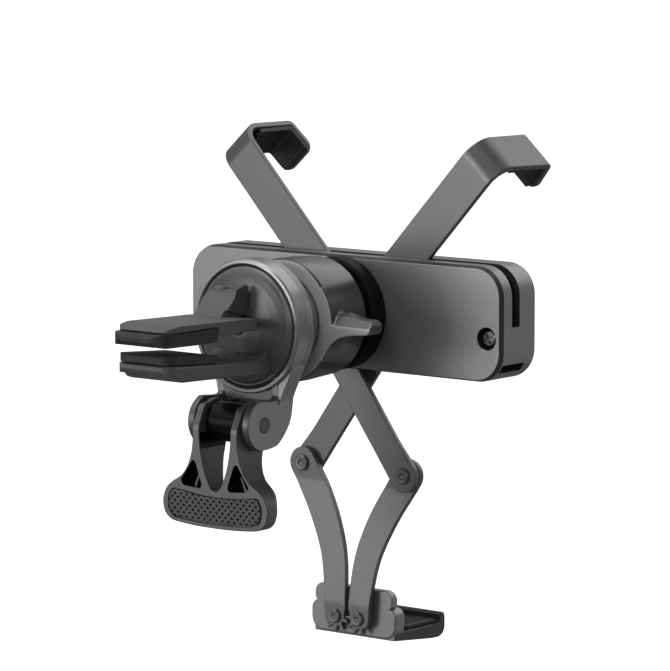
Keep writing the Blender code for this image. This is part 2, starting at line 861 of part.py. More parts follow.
# lower jaw, one casting with the disc
LOW_JAW = [
    (-41.5, -3.5), (-44.0, -5.0), (-46.5, -6.3), (-49.5, -7.1), (-61.8, -6.45), (-80.7, -5.3),
    (-81.6, -5.8), (-81.4, -6.9), (-80.2, -7.7), (-78.3, -8.0), (-77.3, -9.0), (-75.8, -9.5),
    (-61.0, -10.0), (-45.0, -10.9), (-41.5, -11.2),
]
add(face_disc, prism(LOW_JAW, "x", -JAW_HALF_W, JAW_HALF_W))
# cheeks that carry the upper jaw's pin: the right one shows beside the knuckle
CHEEK = [
    (-41.5, 3.1), (-47.0, 3.2), (-49.2, 3.7), (-51.0, 4.2), (-53.6, 4.9), (-53.4, 5.5),
    (-52.2, 6.6), (-51.0, 7.7), (-50.5, 8.7), (-50.2, 9.8), (-46.6, 10.6), (-46.1, 10.4),
    (-46.0, 4.6), (-41.5, 4.5),
]
cut(face_disc, box(-6.8, 2.1, -47.5, -43.9, 0.3, 9.6))
add(face_disc, prism(CHEEK, "x", 2.15, 3.1))
CHEEK_LEFT = [
    (-41.5, 3.2), (-47.0, 3.3), (-50.6, 4.6), (-50.9, 6.2), (-49.6, 7.5), (-48.2, 8.0), (-41.5, 8.2),
]
add(face_disc, prism(CHEEK_LEFT, "x", -7.7, -6.85))
cut(face_disc, rod(JAW_PIN[0], JAW_PIN[1], 1.15, "x", -9.0, 8.0, 14))
# slot that the upper jaw's tail works in
cut(face_disc, box(-2.8, 1.9, -47.5, -39.0, 0.4, 9.0))
cut(face_disc, rod(0.0, 0.0, 1.25, "y", -47.0, -42.2, 14))

finish(
    "disc_screw",
    turned(
        [
            (0.0, -46.75), (0.9, -46.7), (1.75, -46.55), (2.0, -46.35), (1.1, -46.25),
            (1.1, -42.6), (0.0, -42.4),
        ],
        0, 0, 18,
    ),
    E_HEAD,
    M_STEEL,
)
finish(
    "lower_jaw_pad",
    prism(
        [
            (-81.4, -3.4), (-81.0, -2.979), (-63.3, -4.2536), (-63.1, -4.42), (-63.1, -6.06),
            (-63.3, -6.19), (-81.2, -5.02), (-81.4, -4.85),
        ],
        "x", -8.1, 8.1,
    ),
    E_HEAD,
    M_RUBBER,
)

upper_jaw = finish(
    "upper_jaw",
    prism(
        [
            (-48.7, 0.2), (-48.7, 2.7), (-49.1, 3.1), (-54.6, 3.4), (-76.8, 4.0), (-78.8, 3.7),
            (-80.6, 3.0), (-81.4, 2.5), (-81.0, 2.3), (-63.2, 2.3), (-62.9, 2.0), (-62.9, 0.4),
            (-62.6, 0.2),
        ],
        "x", -JAW_HALF_W, JAW_HALF_W,
    ),
    E_JAW,
    M_HEAD,
)
KNUCKLE = [
    (-55.2, 2.8), (-54.6, 3.6), (-53.4, 4.7), (-51.9, 6.25), (-50.3, 7.75), (-48.9, 8.7),
    (-47.4, 9.25), (-45.9, 9.3), (-45.2, 8.6), (-45.2, 5.6), (-46.2, 3.6), (-47.9, 2.4),
]
add(upper_jaw, prism(KNUCKLE, "x", -6.6, 1.9))
# tail that reaches back through the disc to the push rod
add(
    upper_jaw,
    prism([(-49.0, 4.0), (-49.0, 8.2), (-45.5, 7.6), (-38.2, 6.6), (-38.2, 3.4), (-45.5, 3.4)], "x", -2.4, 1.5),
)
cut(upper_jaw, rod(JAW_PIN[0], JAW_PIN[1], 1.15, "x", -9.0, 8.0, 14))
finish("jaw_pin", rod(JAW_PIN[0], JAW_PIN[1], 1.0, "x", -7.6, 3.0, 14), E_HEAD, M_STEEL)
finish(
    "upper_jaw_pad",
    prism(
        [
            (-63.2, -1.0), (-63.2, 1.9), (-63.4, 2.1), (-82.8, 2.1), (-83.4, 1.4),
            (-83.5, 0.0), (-82.3, -0.3), (-82.0, -0.95), (-71.0, -1.2), (-63.5, -1.15),
        ],
        "x", -8.2, 8.2,
    ),
    E_JAW,
    M_RUBBER,
)
finish("push_rod", rod(0.0, -39.3, 1.0, "z", -18.0, 3.1, 14), E_ROD, M_STEEL)

# ---------------------------------------------------------------- cam lever
LEVER_OUT = [
    (6.9, -24.0), (7.0, -27.5), (7.6, -30.6), (8.8, -33.4), (10.6, -35.6), (13.2, -37.2),
    (15.1, -38.8), (16.1, -40.9), (16.3, -42.8), (15.8, -44.7), (14.7, -46.0), (13.0, -46.8),
    (9.0, -47.25), (4.5, -47.5), (0.0, -47.55),
]
LEVER_IN = [(0.0, -38.7), (1.2, -38.1), (2.3, -36.4), (3.4, -33.6), (4.2, -30.5), (4.7, -27.0), (4.9, -24.0)]
front = LEVER_OUT + [(-x, z) for x, z in reversed(LEVER_OUT[:-1])] + [(-x, z) for x, z in reversed(LEVER_IN[1:])] + LEVER_IN
# the plate: its back is deeper towards the hinge
lever = finish("cam_lever", prism(front, "y", -55.0, -51.2), E_LEVER, M_NUT)
for s in (-1, 1):
    lo, hi = min(s * 4.9, s * 7.1), max(s * 4.9, s * 7.1)
    side_plate = (
        [(-54.7, -22.0), (-54.9, -25.0), (-54.8, -33.0), (-51.5, -38.2), (-49.6, -36.8), (-47.2, -32.8), (-43.9, -28.2)]
        + arc(LEVER_PIN[0], LEVER_PIN[1], 5.4, -38, 118, 8)
        + [(-52.6, -17.6)]
    )
    add(lever, prism(side_plate, "x", lo + 0.05, hi - 0.05))
    cut(
        lever,
        prism([(s * 6.1, -31.2), (s * 9.7, -36.3), (s * 9.2, -37.0), (s * 4.3, -37.6), (s * 3.9, -37.1)], "y", -60.0, -48.0),
    )
# hub between the side plates, with the nose that lifts the push rod
add(
    lever,
    prism(
        arc(LEVER_PIN[0], LEVER_PIN[1], 4.9, 95, 320, 12)
        + [(-41.0, -24.4), (-38.2, -20.6), (-38.0, -18.9), (-38.8, -18.15), (-40.4, -18.2), (-44.4, -18.4)],
        "x", -5.5, 5.5,
    ),
)
cut(lever, rod(LEVER_PIN[0], LEVER_PIN[1], 1.95, "x", -9.0, 9.0, 18))
# shallow seat for the grip
GRIP = [
    (-14.0, -41.2), (-13.4, -39.3), (-12.0, -38.75), (-6.0, -39.5), (0.0, -39.75), (6.0, -39.5),
    (12.0, -38.75), (13.4, -39.3), (14.0, -41.2), (14.0, -43.8), (13.1, -45.6), (11.8, -46.05),
    (6.0, -46.5), (0.0, -46.65), (-6.0, -46.5), (-11.8, -46.05), (-13.1, -45.6), (-14.0, -43.8),
]
cut(lever, prism(GRIP, "y", -58.0, -54.2))


def shrink(points, k):
    cx = sum(p[0] for p in points) / len(points)
    cz = sum(p[1] for p in points) / len(points)
    out = []
    for x, z in points:
        d = math.hypot(x - cx, z - cz)
        out.append((x - (x - cx) * k / d, z - (z - cz) * k / d))
    return out


finish("lever_grip", prism(shrink(GRIP, 0.25), "y", -55.2, -54.35), E_LEVER, M_BLACK)
finish("lever_pin", rod(LEVER_PIN[0], LEVER_PIN[1], 1.8, "x", -9.5, 9.5, 18), E_HEAD, M_STEEL)
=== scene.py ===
"""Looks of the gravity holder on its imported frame.

Shapes are written in millimetres in the holder's working frame: X across, +Y away
from the vent, +Z up, zero at the middle of the case. place() moves them into the
row frame, in metres.
"""

import math
import bmesh
import bpy
from mathutils import Matrix, Vector

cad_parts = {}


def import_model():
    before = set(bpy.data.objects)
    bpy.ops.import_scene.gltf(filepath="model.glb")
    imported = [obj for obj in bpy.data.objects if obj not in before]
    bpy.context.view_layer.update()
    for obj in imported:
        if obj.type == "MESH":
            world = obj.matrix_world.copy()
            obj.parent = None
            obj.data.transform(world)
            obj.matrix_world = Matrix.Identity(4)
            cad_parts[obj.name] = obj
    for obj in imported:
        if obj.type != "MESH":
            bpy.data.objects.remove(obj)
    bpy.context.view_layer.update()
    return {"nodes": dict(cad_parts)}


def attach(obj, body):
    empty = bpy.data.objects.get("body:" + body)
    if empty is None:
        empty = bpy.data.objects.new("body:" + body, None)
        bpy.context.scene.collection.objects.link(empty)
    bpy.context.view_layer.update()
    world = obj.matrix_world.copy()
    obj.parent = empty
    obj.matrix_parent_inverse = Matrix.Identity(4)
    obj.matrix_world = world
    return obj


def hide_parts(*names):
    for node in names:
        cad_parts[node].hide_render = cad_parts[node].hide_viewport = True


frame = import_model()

MM = 0.001
SHIFT = (0.0, 72.0, 3.6272)
COLL = bpy.context.scene.collection


def world(x, y, z):
    return Vector(((x + SHIFT[0]) * MM, (y + SHIFT[1]) * MM, (z + SHIFT[2]) * MM))


def cos(d):
    return math.cos(math.radians(d))


def sin(d):
    return math.sin(math.radians(d))


# ================================================================ camera
cam_data = bpy.data.cameras.new("camera")
cam = bpy.data.objects.new("camera", cam_data)
COLL.objects.link(cam)
right = Vector((cos(38.4), sin(38.4), 0.0))
toward = Vector((0.6163, -0.7775, 0.1253)).normalized()
right = (right - toward * right.dot(toward)).normalized()
upward = toward.cross(right)
m = Matrix((
    (right.x, upward.x, toward.x, 0.0),
    (right.y, upward.y, toward.y, 0.0),
    (right.z, upward.z, toward.z, 0.0),
    (0.0, 0.0, 0.0, 1.0),
))
cam.matrix_world = Matrix.Translation((0.62566, -0.72604, 0.12522)) @ m
cam_data.sensor_fit = "HORIZONTAL"
cam_data.sensor_width = 36.0
cam_data.lens = 4126.0 * 36.0 / 670.0
cam_data.clip_start = 0.05
cam_data.clip_end = 100.0
bpy.context.scene.camera = cam
bpy.context.scene.view_settings.view_transform = "Standard"


# ================================================================ materials
def nodes_of(name):
    mat = bpy.data.materials.new(name)
    mat.use_nodes = True
    nt = mat.node_tree
    return mat, nt, nt.nodes["Principled BSDF"]


def scaled(rgb, k):
    return (min(1.0, rgb[0] * k), min(1.0, rgb[1] * k), min(1.0, rgb[2] * k), 1.0)


def finish_of(name, rgb, rough, metal, vary=0.10, patch=260.0, rough_vary=0.06, grain=5200.0,
              bump=0.10, depth=0.00002, coat=0.0, coat_rough=0.1, spec=0.5, stretch=None):
    """A procedural finish: slow tone patches, finer gloss changes, and a fine grain in relief."""
    mat, nt, b = nodes_of(name)
    b.inputs["Metallic"].default_value = metal
    b.inputs["Specular IOR Level"].default_value = spec
    if coat > 0:
        b.inputs["Coat Weight"].default_value = coat
        b.inputs["Coat Roughness"].default_value = coat_rough
    tc = nt.nodes.new("ShaderNodeTexCoord")
    src = tc.outputs["Object"]
    if stretch:
        mp = nt.nodes.new("ShaderNodeMapping")
        mp.inputs["Scale"].default_value = stretch
        nt.links.new(tc.outputs["Object"], mp.inputs["Vector"])
        src = mp.outputs["Vector"]

    n1 = nt.nodes.new("ShaderNodeTexNoise")
    n1.inputs["Scale"].default_value = patch
    n1.inputs["Detail"].default_value = 4.0
    n1.inputs["Roughness"].default_value = 0.62
    nt.links.new(src, n1.inputs["Vector"])
    ramp = nt.nodes.new("ShaderNodeValToRGB")
    ramp.color_ramp.elements[0].position = 0.30
    ramp.color_ramp.elements[1].position = 0.70
    ramp.color_ramp.elements[0].color = scaled(rgb, 1.0 - vary)
    ramp.color_ramp.elements[1].color = scaled(rgb, 1.0 + vary)
    nt.links.new(n1.outputs["Fac"], ramp.inputs["Fac"])
    nt.links.new(ramp.outputs["Color"], b.inputs["Base Color"])

    n2 = nt.nodes.new("ShaderNodeTexNoise")
    n2.inputs["Scale"].default_value = patch * 4.0
    n2.inputs["Detail"].default_value = 5.0
    nt.links.new(src, n2.inputs["Vector"])
    mr = nt.nodes.new("ShaderNodeMapRange")
    mr.inputs["From Min"].default_value = 0.3
    mr.inputs["From Max"].default_value = 0.7
    mr.inputs["To Min"].default_value = max(0.02, rough - rough_vary)
    mr.inputs["To Max"].default_value = rough + rough_vary
    nt.links.new(n2.outputs["Fac"], mr.inputs["Value"])
    nt.links.new(mr.outputs["Result"], b.inputs["Roughness"])

    n3 = nt.nodes.new("ShaderNodeTexNoise")
    n3.inputs["Scale"].default_value = grain
    n3.inputs["Detail"].default_value = 2.0
    nt.links.new(src, n3.inputs["Vector"])
    bp = nt.nodes.new("ShaderNodeBump")
    bp.inputs["Strength"].default_value = bump
    bp.inputs["Distance"].default_value = depth
    nt.links.new(n3.outputs["Fac"], bp.inputs["Height"])
    nt.links.new(bp.outputs["Normal"], b.inputs["Normal"])
    return mat


CASE = finish_of("case_satin", (0.262, 0.261, 0.268), 0.38, 0.60, vary=0.03, rough_vary=0.02, bump=0.06)
# Near-black copy of the case grey: painted shade for a dark line at the back face's edge and on the foot's ledge.
CASE_PAINTED_SHADE = finish_of("case_painted_shade", (0.055, 0.055, 0.057), 0.36, 0.4, vary=0.04, rough_vary=0.02, bump=0.06)
# Near-black for the case's hidden faces: painted shade where the inside, the slot, the screw recesses and the notches
# fall dark.
CASE_INSIDE_SHADE = finish_of("case_inside_painted_shade", (0.010, 0.010, 0.011), 0.70, 0.0, vary=0.15, bump=0.15)
METAL = finish_of("arm_satin", (0.150, 0.150, 0.155), 0.38, 0.60, vary=0.03, rough_vary=0.03, bump=0.12)
DRUM = finish_of("drum_satin", (0.30, 0.30, 0.302), 0.36, 0.75, vary=0.04, rough_vary=0.03, bump=0.08)
# The head's own dark finish; it is also painted on the lower web and ears of the head housing as painted shade.
HEAD = finish_of("head_dark", (0.125, 0.125, 0.126), 0.36, 0.55, vary=0.05, rough_vary=0.03, bump=0.06)
JAWS = finish_of("jaw_dark", (0.122, 0.122, 0.123), 0.46, 0.05, vary=0.05, rough_vary=0.03, bump=0.10, spec=0.22)
NUT = finish_of("nut_satin", (0.115, 0.115, 0.118), 0.30, 0.70, vary=0.04, rough_vary=0.03, bump=0.06)
# Pale, less metallic copy of the nut's finish: painted light on the nut's front faces.
NUT_FACE_LIT = finish_of("nut_face_painted_light", (0.47, 0.47, 0.475), 0.48, 0.15, vary=0.04, bump=0.06)
# Near-black for the collar: painted shade round the foot of the nut on the case.
COLLAR_SHADE = finish_of("collar_painted_shade", (0.008, 0.008, 0.008), 0.50, 0.0, vary=0.05, bump=0.05, spec=0.08)
LEVER = finish_of("lever_satin", (0.132, 0.132, 0.133), 0.34, 0.50, vary=0.03, rough_vary=0.02, bump=0.06)
# Near-black, glossy: painted shade in the lever's hub and pockets.
LEVER_SHADE = finish_of("lever_painted_shade", (0.006, 0.006, 0.007), 0.16, 0.0, vary=0.10, bump=0.02, spec=0.12)
STEEL = finish_of("pin_steel", (0.46, 0.46, 0.47), 0.26, 1.0, vary=0.08, bump=0.06)
SCREW = finish_of("screw_dark", (0.13, 0.13, 0.133), 0.28, 1.0, vary=0.08, bump=0.06)
RUBBER = finish_of("rubber_black", (0.034, 0.034, 0.035), 0.62, 0.0, vary=0.18, bump=0.25, depth=0.00003, spec=0.4)
PLASTIC = finish_of("grip_black", (0.070, 0.070, 0.071), 0.42, 0.0, vary=0.12, bump=0.12)


# ================================================================ shapes
def prism(points, axis, lo, hi):
    bm = bmesh.new()

    def co(p, h):
        if axis == "x":
            return (h, p[0], p[1])
        if axis == "y":
            return (p[0], h, p[1])
        return (p[0], p[1], h)

    a = [bm.verts.new(co(p, lo)) for p in points]
    b = [bm.verts.new(co(p, hi)) for p in points]
    n = len(points)
    for i in range(n):
        j = (i + 1) % n
        bm.faces.new((a[i], a[j], b[j], b[i]))
    bm.faces.new(a)
    bm.faces.new(list(reversed(b)))
    return bm


def arc(cx, cy, r, a0, a1, n):
    return [
        (cx + r * cos(a0 + (a1 - a0) * i / n), cy + r * sin(a0 + (a1 - a0) * i / n))
        for i in range(n + 1)
    ]


def circle(cx, cy, r, n):
    return [(cx + r * cos(360 * i / n), cy + r * sin(360 * i / n)) for i in range(n)]


def rod(cx, cy, r, axis, lo, hi, n=40):
    return prism(circle(cx, cy, r, n), axis, lo, hi)


def box(x0, x1, y0, y1, z0, z1):
    return prism([(x0, y0), (x1, y0), (x1, y1), (x0, y1)], "z", z0, z1)


def round_rect(hw, hh, r, n=10):
    pts = []
    for cx, cy, a in (
        (hw - r, hh - r, 0), (-hw + r, hh - r, 90), (-hw + r, -hh + r, 180), (hw - r, -hh + r, 270),
    ):
        pts += arc(cx, cy, r, a, a + 90, n)
    return pts


def mirror(points):
    return [(-x, y) for x, y in reversed(points)]


def soften(pts, r, n=4, closed=True, least=12.0):
    """Rounds the corners of a polygon. r is one radius, or one for each point."""
    out = []
    m_ = len(pts)
    for i, p in enumerate(pts):
        ri = r[i] if isinstance(r, (list, tuple)) else r
        if (not closed and i in (0, m_ - 1)) or ri <= 0:
            out.append(tuple(p))
            continue
        a, b = pts[i - 1], pts[(i + 1) % m_]
        va = Vector((a[0] - p[0], a[1] - p[1]))
        vb = Vector((b[0] - p[0], b[1] - p[1]))
        if va.length < 1e-6 or vb.length < 1e-6:
            out.append(tuple(p))
            continue
        ua, ub = va.normalized(), vb.normalized()
        ang = math.acos(max(-1.0, min(1.0, ua.dot(ub))))
        turn = 180.0 - math.degrees(ang)
        if turn < least or ang < 0.05:
            out.append(tuple(p))
            continue
        t = min(ri / math.tan(ang / 2), 0.46 * va.length, 0.46 * vb.length)
        rr = t * math.tan(ang / 2)
        c = Vector(p) + (ua + ub).normalized() * (rr / math.sin(ang / 2))
        s = Vector(p) + ua * t - c
        e = Vector(p) + ub * t - c
        a0 = math.atan2(s.y, s.x)
        d = math.atan2(e.y, e.x) - a0
        while d > math.pi:
            d -= 2 * math.pi
        while d < -math.pi:
            d += 2 * math.pi
        k = max(2, int(round(n * turn / 90.0)))
        for j in range(k + 1):
            q = a0 + d * j / k
            out.append((c.x + rr * math.cos(q), c.y + rr * math.sin(q)))
    return out


def flow(pts, n=4, closed=False):
    """A smooth curve through the points."""
    m_ = len(pts)
    out = []
    last = m_ if closed else m_ - 1
    for i in range(last):
        p1, p2 = pts[i], pts[(i + 1) % m_]
        p0 = pts[i - 1] if (closed or i > 0) else (2 * p1[0] - p2[0], 2 * p1[1] - p2[1])
        if closed or i + 2 < m_:
            p3 = pts[(i + 2) % m_]
        else:
            p3 = (2 * p2[0] - p1[0], 2 * p2[1] - p1[1])
        for k in range(n):
            t = k / n
            out.append(tuple(
                0.5 * (
                    2 * p1[c] + (p2[c] - p0[c]) * t
                    + (2 * p0[c] - 5 * p1[c] + 4 * p2[c] - p3[c]) * t * t
                    + (3 * p1[c] - p0[c] - 3 * p2[c] + p3[c]) * t * t * t
                )
                for c in (0, 1)
            ))
    if not closed:
        out.append(tuple(pts[-1]))
    return out


def area(pts):
    return 0.5 * sum(
        pts[i - 1][0] * pts[i][1] - pts[i][0] * pts[i - 1][1] for i in range(len(pts))
    )


def inset(pts, d):
    """Moves the edges of a polygon inwards."""
    s = 1.0 if area(pts) > 0 else -1.0
    out = []
    n = len(pts)
    for i in range(n):
        a, p, b = pts[i - 1], pts[i], pts[(i + 1) % n]
        e0 = Vector((p[0] - a[0], p[1] - a[1]))
        e1 = Vector((b[0] - p[0], b[1] - p[1]))
        if e0.length < 1e-9:
            e0 = e1
        if e1.length < 1e-9:
            e1 = e0
        e0.normalize()
        e1.normalize()
        n0 = Vector((-e0.y, e0.x)) * s
        n1 = Vector((-e1.y, e1.x)) * s
        bis = n0 + n1
        if bis.length < 1e-6:
            bis = n0
        bis.normalize()
        k = d / max(0.35, bis.dot(n0))
        out.append((p[0] + bis.x * k, p[1] + bis.y * k))
    return out


def clean(pts, least=0.012):
    out = []
    for p in pts:
        if not out or math.hypot(p[0] - out[-1][0], p[1] - out[-1][1]) > least:
            out.append(p)
    while len(out) > 3 and math.hypot(out[0][0] - out[-1][0], out[0][1] - out[-1][1]) < least:
        out.pop()
    return out


def fits(points, d):
    """True if no edge of the polygon turns round when it is moved inwards by d."""
    q = inset(points, d)
    for i in range(len(points)):
        e = (points[i][0] - points[i - 1][0], points[i][1] - points[i - 1][1])
        f = (q[i][0] - q[i - 1][0], q[i][1] - q[i - 1][1])
        if e[0] * f[0] + e[1] * f[1] <= 0:
            return False
    return True


def slab(points, axis, lo, hi, r=0.3, seg=3, r_lo=None, r_hi=None):
    """A prism whose end faces have rounded edges."""
    points = clean(points)
    rl = r if r_lo is None else r_lo
    rh = r if r_hi is None else r_hi
    want = max(rl, rh)
    while max(rl, rh) > 0.02 and not fits(points, max(rl, rh)):
        rl *= 0.85
        rh *= 0.85
    if max(rl, rh) < want * 0.99:
        print("EDGE %s %.2f..%.2f radius %.2f -> %.2f" % (axis, lo, hi, want, max(rl, rh)))
    levels = []
    for k in range(seg + 1):
        if rl <= 0:
            levels.append((lo, 0.0))
            break
        a = 90.0 * k / seg
        levels.append((lo + rl * (1 - cos(a)), rl * (1 - sin(a))))
    for k in range(seg, -1, -1):
        if rh <= 0:
            levels.append((hi, 0.0))
            break
        a = 90.0 * k / seg
        levels.append((hi - rh * (1 - cos(a)), rh * (1 - sin(a))))
    bm = bmesh.new()

    def co(p, h):
        if axis == "x":
            return (h, p[0], p[1])
        if axis == "y":
            return (p[0], h, p[1])
        return (p[0], p[1], h)

    rows = []
    for h, d in levels:
        q = inset(points, d) if d > 1e-6 else points
        rows.append([bm.verts.new(co(p, h)) for p in q])
    n = len(points)
    for a, b in zip(rows, rows[1:]):
        for i in range(n):
            j = (i + 1) % n
            bm.faces.new((a[i], a[j], b[j], b[i]))
    bm.faces.new(rows[0])
    bm.faces.new(list(reversed(rows[-1])))
    return bm


def turned(profile, cx, cz, n=96, axis="y"):
    """A profile of (radius, height) turned about an axis."""
    bm = bmesh.new()
    rings = []
    for r, y in profile:
        k = 1 if r < 1e-6 else n
        ring = []
        for i in range(k):
            c, s = r * cos(360 * i / n), r * sin(360 * i / n)
            if axis == "y":
                ring.append(bm.verts.new((cx + c, y, cz + s)))
            else:
                ring.append(bm.verts.new((y, cx + c, cz + s)))
        rings.append(ring)
    pairs = list(zip(rings, rings[1:]))
    if len(rings[0]) > 1:
        pairs.append((rings[-1], rings[0]))
    for p, q in pairs:
        for i in range(n):
            j = (i + 1) % n
            if len(p) == 1 and len(q) == 1:
                continue
            if len(p) == 1:
                bm.faces.new((p[0], q[j], q[i]))
            elif len(q) == 1:
                bm.faces.new((p[i], p[j], q[0]))
            else:
                bm.faces.new((p[i], p[j], q[j], q[i]))
    return bm


def merge(*bms):
    """Several bmeshes in one."""
    out = bmesh.new()
    for b in bms:
        me = bpy.data.meshes.new("tmp")
        b.to_mesh(me)
        b.free()
        out.from_mesh(me)
        bpy.data.meshes.remove(me)
    return out


def thing(name, bm):
    bmesh.ops.recalc_face_normals(bm, faces=bm.faces)
    me = bpy.data.meshes.new(name)
    bm.to_mesh(me)
    bm.free()
    ob = bpy.data.objects.new(name, me)
    COLL.objects.link(ob)
    return ob


def bake(ob):
    dg = bpy.context.evaluated_depsgraph_get()
    me = bpy.data.meshes.new_from_object(ob.evaluated_get(dg))
    old = ob.data
    ob.modifiers.clear()
    ob.data = me
    bpy.data.meshes.remove(old)
    return ob


def volume(me):
    bm = bmesh.new()
    bm.from_mesh(me)
    v = bm.calc_volume(signed=True)
    open_edges = sum(1 for e in bm.edges if not e.is_manifold)
    bm.free()
    return v, open_edges


def boolean(ob, bm, op):
    other = thing("other", bm)
    va, vb = volume(ob.data), volume(other.data)
    md = ob.modifiers.new("b", "BOOLEAN")
    md.operation = op
    md.solver = "EXACT"
    md.use_self = False
    md.object = other
    bake(ob)
    vc = volume(ob.data)
    print("BOOL", ob.name, op, "%.2f/%d %.2f/%d -> %.2f/%d" % (*va, *vb, *vc))
    me = other.data
    bpy.data.objects.remove(other)
    bpy.data.meshes.remove(me)
    return ob


def cut(ob, *bms):
    for bm in bms:
        boolean(ob, bm, "DIFFERENCE")
    return ob


def join(ob, *bms):
    for bm in bms:
        boolean(ob, bm, "UNION")
    return ob


def solid(ob):
    """Takes a helper object away and hands back its shape, for a join or a cut."""
    bm = bmesh.new()
    bm.from_mesh(ob.data)
    me = ob.data
    bpy.data.objects.remove(ob)
    bpy.data.meshes.remove(me)
    return bm


def round_nose(ob, y, r):
    """Rounds the two front corners of a bar, as seen from above."""
    e = max(v.co.x for v in ob.data.vertices)
    for sd in (-1, 1):
        pts = [(sd * (e + 1.0), y - 1.0), (sd * (e + 1.0), y + r), (sd * e, y + r)]
        pts += [(sd * (e - r + r * cos(a)), y + r - r * sin(a)) for a in range(9, 90, 9)]
        pts += [(sd * (e - r), y), (sd * (e - r), y - 1.0)]
        cut(ob, prism(pts, "z", -30.0, 30.0))


def bevel(ob, width, segments=2, angle=32.0):
    md = ob.modifiers.new("bevel", "BEVEL")
    md.width = width
    md.segments = segments
    md.limit_method = "ANGLE"
    md.angle_limit = math.radians(angle)
    md.miter_outer = "MITER_ARC"
    return bake(ob)


def soft_remesh(ob, voxel, smooth=4, factor=0.5):
    """For cast shapes whose parts blend into each other."""
    md = ob.modifiers.new("remesh", "REMESH")
    md.mode = "VOXEL"
    md.voxel_size = voxel
    bake(ob)
    md = ob.modifiers.new("smooth", "SMOOTH")
    md.iterations = smooth
    md.factor = factor
    return bake(ob)


def place(ob, body, mats, nodes=(), sharp=34.0, weighted=True):
    """Shading, material, and the way into the row frame."""
    me = ob.data
    index = [p.material_index for p in me.polygons]
    me.materials.clear()
    for mt in (mats if isinstance(mats, (list, tuple)) else [mats]):
        me.materials.append(mt)
    me.polygons.foreach_set("material_index", index)
    me.shade_smooth()
    me.set_sharp_from_angle(angle=math.radians(sharp))
    if weighted:
        md = ob.modifiers.new("normals", "WEIGHTED_NORMAL")
        md.mode = "FACE_AREA"
        md.weight = 60
        md.keep_sharp = True
        bake(ob)
        me = ob.data
    me.transform(Matrix.Scale(MM, 4) @ Matrix.Translation(SHIFT))
    me.update()
    if nodes:
        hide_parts(*nodes)
    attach(ob, body)
    return ob


def paint(ob, index, test):
    """Gives a second material to the faces whose centre passes the test, in millimetres."""
    for p in ob.data.polygons:
        if test(p.center, p.normal):
            p.material_index = index


# ================================================================ sizes shared with the CAD
HW, HH, CASE_R = 48.5, 14.05, 7.5
SEAM, BACK, FRONT, WALL = -1.6, -6.2, 8.6, 1.6
SCREW_X, SCREW_Z = 44.3, -3.3
PIVOT_X, ARM_ANGLE, ARM_LEN, ARM_N0, ARM_N1, HOOK_DEPTH = 8.5, 47.5, 51.9, -1.0, 9.2, 20.5
KNEE = (16.6, -39.8)
FOOT_PIVOT = (3.6, -76.8)
BALL_Y = -20.0
JAW_PIN = (-48.8, 6.1)
LEVER_PIN = (-47.6, -22.6)


# ================================================================ case
def cup(outer, inner, hw, hh, r, n=14):
    bm = bmesh.new()

    def loop(y, d):
        rr = max(r - d, 0.6)
        return [bm.verts.new((p[0], y, p[1])) for p in round_rect(hw - d, hh - d, rr, n)]

    chain = [loop(*s) for s in reversed(inner)] + [loop(*s) for s in outer]
    k_ = len(chain[0])
    for a, b in zip(chain, chain[1:]):
        for k in range(k_):
            j = (k + 1) % k_
            bm.faces.new((a[k], a[j], b[j], b[k]))
    bm.faces.new(chain[-1])
    bm.faces.new(chain[0])
    return bm


def case_edge(y_seam, y_face, r, steps=6):
    """Outer profile of a case half: from the seam to the face, with a rounded edge."""
    s = 1.0 if y_face > y_seam else -1.0
    out = [(y_seam, 0.0), (y_face - s * r, 0.0)]
    for k in range(1, steps + 1):
        a = 90.0 * k / steps
        out.append((y_face - s * r * (1 - sin(a)), r * (1 - cos(a))))
    return out


def depth_in(c):
    """How far a point lies inside the case's outline, as seen from the vent."""
    x, z = abs(c.x) - (HW - CASE_R), abs(c.z) - (HH - CASE_R)
    if x > 0 and z > 0:
        return CASE_R - math.hypot(x, z)
    return min(HW - abs(c.x), HH - abs(c.z))


back = thing("case_back", cup([(SEAM + 0.06, 0.0), (BACK + 1.55, 0.0), (BACK + 1.4, 0.03), (BACK + 0.22, 0.42), (BACK + 0.06, 0.52), (BACK, 0.72)], [(SEAM + 0.06, WALL), (BACK + WALL, WALL)], HW, HH, CASE_R))
for s in (-1, 1):
    join(back, rod(s * SCREW_X, SCREW_Z, 3.6, "y", -5.6, -1.65, 40))
    cut(back, turned([(0, -7.2), (2.95, -7.2), (2.95, -6.25), (2.78, -6.08), (2.75, -3.6), (0, -3.6)], s * SCREW_X, SCREW_Z, 64))
    cut(back, rod(s * SCREW_X, SCREW_Z, 1.3, "y", -7.0, 0.0, 24))
    cut(back, slab(soften([(s * 43.0, -11.7), (s * 52.0, -11.7), (s * 52.0, -9.7), (s * 43.0, -9.7)][::s], 0.8, 5), "y", -4.3, 0.4, 0.0))
cut(back, box(-38.0, 38.0, -4.3, 0.4, -20.0, -12.0))
# Painted shade: faces more than 0.9 mm inside the outline and behind the back face (the shell's inside, screw
# recesses, notches) take near-black.
paint(back, 1, lambda c, n: depth_in(c) > 0.9 and c.y > BACK + 0.3)
# Painted shade: the rounded edge round the back face takes the near-black case grey, as a dark line where a gap would
# cast shade.
paint(back, 2, lambda c, n: c.y < BACK + 1.45 and -0.9 < n.y < -0.08 and depth_in(c) < 0.8)
place(back, "case", [CASE, CASE_INSIDE_SHADE, CASE_PAINTED_SHADE], ["back_shell"])

